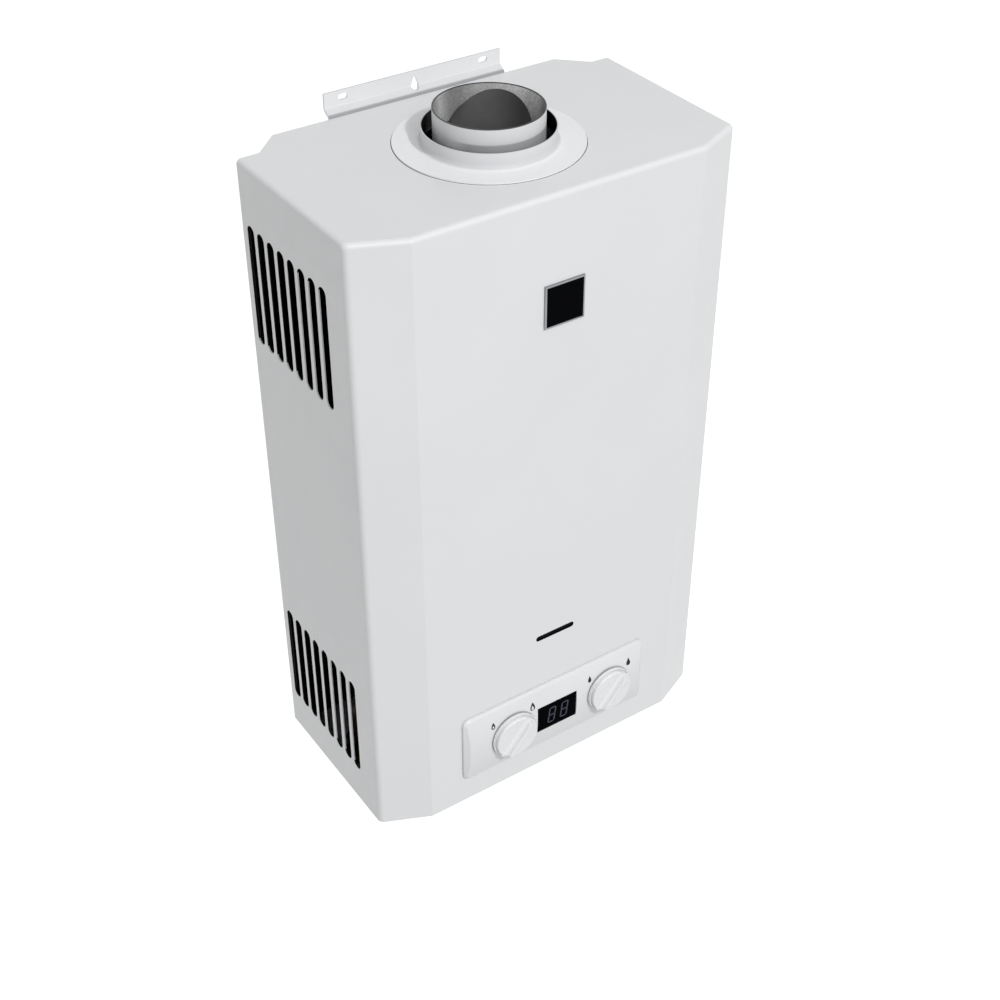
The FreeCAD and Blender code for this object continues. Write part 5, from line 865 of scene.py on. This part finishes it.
# %% Display segments
idle = Finish("idle_segment", (58, 61, 74), 0.3, Specular_IOR_Level=0.1)
idle.tint(idle.ramp(idle.noise(400.0, 2.0), 0.35, 0.7), (66, 70, 84))
idle.rough(idle.ramp(idle.noise(1200.0, 2.0), 0.35, 0.7, 0.26, 0.38))
lens_low, lens_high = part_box("display_lens")
LENS_FACE = lens_low.y
LENS_MIDDLE = (lens_low.z + lens_high.z) / 2
FIGURE_TALL = 15.7 * MM
FIGURE_WIDE = 6.1 * MM
BAR = 1.3 * MM


def segment(length, upright, x, z):
    """Corners of a long hexagon: its two points, and its four shoulders half a bar in from them."""
    half, bar = length / 2 - 0.12 * MM, BAR / 2
    along = np.array([-half, -half + bar, half - bar, half, half - bar, -half + bar])
    aside = np.array([0, bar, bar, 0, -bar, -bar])
    across, up = (aside, along) if upright else (along, aside)
    lean = math.tan(math.radians(7))
    return across + x + (up + z) * lean, up + z


def bar_plate(outline, x):
    """A segment as a thin plate: its outline once on the lens and once just inside it, both capped."""
    across, up = outline
    count = len(across)
    loops = [np.stack([x + across, np.full(count, y), LENS_MIDDLE - 0.5 * MM + up], -1)
             for y in (LENS_FACE - 0.03 * MM, LENS_FACE + 0.05 * MM)]
    faces = grid_faces(2, count)
    faces += [list(range(count)), list(range(2 * count - 1, count - 1, -1))]
    return np.concatenate(loops), faces


parts = []
for middle in (-5.1 * MM, 7.85 * MM):
    bars = [(FIGURE_WIDE, False, 0.0, row * FIGURE_TALL / 2) for row in (-1, 0, 1)]
    bars += [(FIGURE_TALL / 2, True, side * FIGURE_WIDE / 2, row * FIGURE_TALL / 4)
             for side in (-1, 1) for row in (-1, 1)]
    for length, upright, x, z in bars:
        parts.append(bar_plate(segment(length, upright, x, z), middle))
points = np.concatenate([p for p, _ in parts])
per_bar = len(parts[0][0])
faces = [[v + per_bar * i for v in face] for i, (_, quads) in enumerate(parts) for face in quads]
make_piece("display_segments", points, faces, idle.material, "appliance", smooth=False)

# %% [markdown]
# ## Fine joints
#
# The moulded panel only touches the cover, and the ring round the flue only touches the top. Each root
# shows as a fine dark line, the gap between one piece and the paint of the next. Such a line is a flat ring
# that follows an outline: one loop on the outline and one a fraction of a millimetre outside it, both laid
# once on the sheet and once a twentieth of a millimetre above it.

# %% Joints
shadow = Finish("joint_shadow", (62, 63, 66), 0.9, Specular_IOR_Level=0.1)
shadow.tint(shadow.ramp(shadow.noise(500.0, 3.0), 0.4, 0.7), (80, 81, 84))
shadow.bump(shadow.noise(3000.0), 10)
cover_low, cover_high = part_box("front_cover")
COVER_FACE = cover_low.y
PROUD = 0.05 * MM


def rounded_loop(half_wide, half_tall, radius, grow, corner=9):
    """Points round a rectangle with round corners, grown outwards: four quarter circles joined in turn."""
    t = np.linspace(0, math.pi / 2, corner)
    angle = np.concatenate([t + quarter * math.pi / 2 for quarter in range(4)])
    centre_x = np.repeat([1, -1, -1, 1], corner) * (half_wide - radius)
    centre_z = np.repeat([1, 1, -1, -1], corner) * (half_tall - radius)
    reach = radius + grow
    return np.stack([centre_x + reach * np.cos(angle), centre_z + reach * np.sin(angle)], -1)


def flat_ring(name, inner, outer, lay):
    """Four loops joined in a closed ring; lay(loop, proud) puts a flat loop on its sheet or above it."""
    loops = [lay(inner, 0.0), lay(inner, PROUD), lay(outer, PROUD), lay(outer, 0.0)]
    faces = grid_faces(4, len(inner), wrap_rows=True)
    return make_piece(name, np.concatenate(loops), faces, shadow.material, "appliance", smooth=False)


def on_front(loop, proud):
    return np.stack([loop[:, 0], np.full(len(loop), COVER_FACE - proud), loop[:, 1] + PANEL_MIDDLE], -1)


def on_top(loop, proud):
    height = np.full(len(loop), CASING_TOP + proud)
    return np.stack([loop[:, 0] + flue_axis.x, loop[:, 1] + flue_axis.y, height], -1)


panel_half = ((panel_high.x - panel_low.x) / 2, (panel_high.z - panel_low.z) / 2, 5.5 * MM)
PANEL_LINE = 0.08 * MM
flat_ring("panel_joint", rounded_loop(*panel_half, 0.0), rounded_loop(*panel_half, PANEL_LINE), on_front)
ring_radius = (collar_high.x - collar_low.x) / 2
angle = np.linspace(0, 2 * math.pi, 120, endpoint=False)
circle = np.stack([np.cos(angle), np.sin(angle)], -1)
RING_TUCK, RING_LINE = 0.05 * MM, 0.5 * MM
flat_ring("flue_ring_joint", circle * (ring_radius - RING_TUCK), circle * (ring_radius + RING_LINE), on_top)

# %% [markdown]
# ## Pipe fittings with real threads
#
# Three brass fittings stand out of the bottom. In CAD each is a plain turned part; a thread would have
# cost thousands of faces there. Here the whole fitting is one surface: a profile of heights and radii
# carried round an axis. Two rules bend it away from a plain turning. Along the thread the radius drops by
# a triangle wave that climbs one pitch each turn, which is a helix. Along the hexagon it follows a flat
# side, apothem / cos(angle from the middle of the side), trimmed by a cone at the corners.

# %% Fittings
PITCH = 1.814 * MM
CREST = 10.4 * MM
THREAD_DEEP = 1.05 * MM
THREAD_LONG = 14.0 * MM
THREAD_START = 1.2 * MM
HEX = 27.0 / 2 * MM
HEX_FOOT = 24.0 * MM
HEX_TALL = 9.0 * MM
SPIGOT_LONG = 7.0 * MM
GROOVE = 9.2 * MM
NECK = 10.3 * MM
SHOULDER = 10.4 * MM
SPIGOT = 8.0 * MM
BORE = 6.5 * MM
SOCKET = 7.05 * MM


def hexagon_radius(angle, apothem):
    """Distance to a flat side: apothem over the cosine of the angle from that side's middle."""
    side = (angle + math.pi / 6) % (math.pi / 3) - math.pi / 6
    return apothem / np.cos(side)


def fitting_points(x, y, low, top, spigot, columns=96):
    """Rows of the outside from the thread's end up, then of the bore back down, for every angle."""
    angle = np.linspace(0, 2 * math.pi, columns, endpoint=False)[None, :]
    hex_low = low + HEX_FOOT
    thread = np.linspace(low, low + THREAD_LONG, 100)
    turned = [(low + 14.2 * MM, GROOVE), (low + 15.8 * MM, GROOVE), (low + 16.2 * MM, NECK), (hex_low, NECK)]
    nut = np.linspace(hex_low, hex_low + HEX_TALL, 7)
    above = [(hex_low + HEX_TALL, SHOULDER), (top, SHOULDER)]
    if spigot:
        above += [(top, SPIGOT), (top + SPIGOT_LONG, SPIGOT)]
    rows, z_rows = [], []
    for z in thread:
        wave = np.abs(((z - low) / PITCH - angle / (2 * math.pi)) % 1.0 - 0.5) * 2
        taper = min(1.0, (z - low) / THREAD_START) * min(1.0, (low + 14.4 * MM - z) / (0.8 * MM))
        lead_in = CREST - 1.0 * MM * max(0.0, 1 - (z - low) / THREAD_START)
        rows.append(np.minimum(CREST - THREAD_DEEP * wave * taper, lead_in))
        z_rows.append(z)
    for z, r in turned:
        rows.append(np.full_like(angle, r))
        z_rows.append(z)
    for z in nut:
        edge = min(z - nut[0], nut[-1] - z)
        cone = HEX * 1.155 - 1.3 * MM + edge * 1.7
        rows.append(np.minimum(hexagon_radius(angle, HEX), cone))
        z_rows.append(z)
    for z, r in above:
        rows.append(np.full_like(angle, r))
        z_rows.append(z)
    end = z_rows[-1]
    if spigot:
        rows.append(np.full_like(angle, BORE))
        z_rows.append(end)
    else:
        rows += [np.full_like(angle, SOCKET)] * 2 + [np.full_like(angle, BORE)]
        z_rows += [end, end - 9.0 * MM, end - 9.0 * MM]
    rows += [np.full_like(angle, BORE), np.full_like(angle, BORE + 0.4 * MM)]
    z_rows += [low + 0.5 * MM, low]
    radius = np.concatenate(rows)
    height = np.array(z_rows)[:, None] + 0 * angle
    return np.stack([x + radius * np.cos(angle), y + radius * np.sin(angle), height], -1)


for node, spigot in (("hot_outlet", False), ("gas_inlet", True), ("cold_inlet", True)):
    low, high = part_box(node)
    top = high.z - (SPIGOT_LONG if spigot else 0.0)
    points = fitting_points((low.x + high.x) / 2, (low.y + high.y) / 2, low.z, top, spigot)
    rows, columns = points.shape[:2]
    piece = make_piece(node + "_threaded", points, grid_faces(rows, columns, wrap_rows=True),
                       finish["fitting_brass"], "appliance")
    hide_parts(node)

# %% [markdown]
# ## Cover screws with a cross recess
#
# Four pan-head screws hold the cover to the bottom plate. The head is a height over a disc: a dome, less a
# cross. A point lies in the cross when it is close to either of two lines through the centre; the depth of
# the recess falls away towards the ends of its arms. The shank below is the same helix as on the fittings,
# with a coarser pitch, as on a self-tapping screw.

# %% Cover screws
HEAD = 4.0 * MM
HEAD_THICK = 2.0 * MM
DOME = 1.3 * MM
SHANK = 2.0 * MM
SHANK_PITCH = 1.4 * MM
ARM_HALF, ARM_SLOPE = 0.62 * MM, 0.22 * MM
ARM_REACH, ARM_RUN, RECESS = 2.3 * MM, 1.9 * MM, 1.5 * MM
FRONT_PAIR = 80 * MM


def screw_points(x, y, head_top, head_bottom, tip, columns=48):
    """Rows: the head from its middle out, its edge, then the threaded shank to its tip; columns: angles."""
    angle = np.linspace(0, 2 * math.pi, columns, endpoint=False)[None, :]
    share = np.linspace(0.02, 1.0, 16)[:, None]
    radius = share * HEAD + 0 * angle
    dome = DOME * (1 - share ** 2) ** 0.5
    near_arm = np.minimum(np.abs(radius * np.cos(angle)), np.abs(radius * np.sin(angle)))
    across = np.clip((ARM_HALF - near_arm) / ARM_SLOPE, 0, 1)
    deep = np.clip((ARM_REACH - radius) / ARM_RUN, 0, 1) * RECESS
    level = head_top + DOME - dome + across * deep
    head = np.stack([x + radius * np.cos(angle), y + radius * np.sin(angle), level], -1)
    shank_z = np.linspace(head_bottom, tip, 40)[:, None] + 0 * angle
    wave = np.abs(((shank_z - head_bottom) / SHANK_PITCH + angle / (2 * math.pi)) % 1.0 - 0.5) * 2
    end = np.clip((tip - shank_z) / (1.6 * MM), 0.25, 1)
    shank_r = (SHANK - 0.5 * MM * wave) * end
    edge = np.full_like(angle, HEAD)
    skirt = [np.stack([x + edge * np.cos(angle), y + edge * np.sin(angle), np.full_like(angle, z)], -1)
             for z in (head_bottom - 0.1 * MM, head_bottom)]
    shank = np.stack([x + shank_r * np.cos(angle), y + shank_r * np.sin(angle), shank_z], -1)
    return np.concatenate([head] + skirt + [shank])


low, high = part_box("cover_screws")
screw_spots = [(low.x + HEAD, high.y - HEAD), (high.x - HEAD, high.y - HEAD),
               (-FRONT_PAIR, low.y + HEAD), (FRONT_PAIR, low.y + HEAD)]
parts = [screw_points(x, y, low.z, low.z + HEAD_THICK, high.z) for x, y in screw_spots]
faces = []
for number, part in enumerate(parts):
    rows, columns = part.shape[:2]
    start = number * rows * columns
    faces += grid_faces(rows, columns, start=start)
    last = start + (rows - 1) * columns
    faces += [list(range(start + columns - 1, start - 1, -1)), list(range(last, last + columns))]
screws = make_piece("cover_screws_cross", np.concatenate([p.reshape(-1, 3) for p in parts]), faces,
                    finish["zinc_screw"], "appliance")
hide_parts("cover_screws")

# %% [markdown]
# ## Finish
#
# The box of the whole object is written down twice, as it was packed and as it is now, so that the two can
# be compared. Then the frame checks that nothing was moved and that every piece rides on a body.
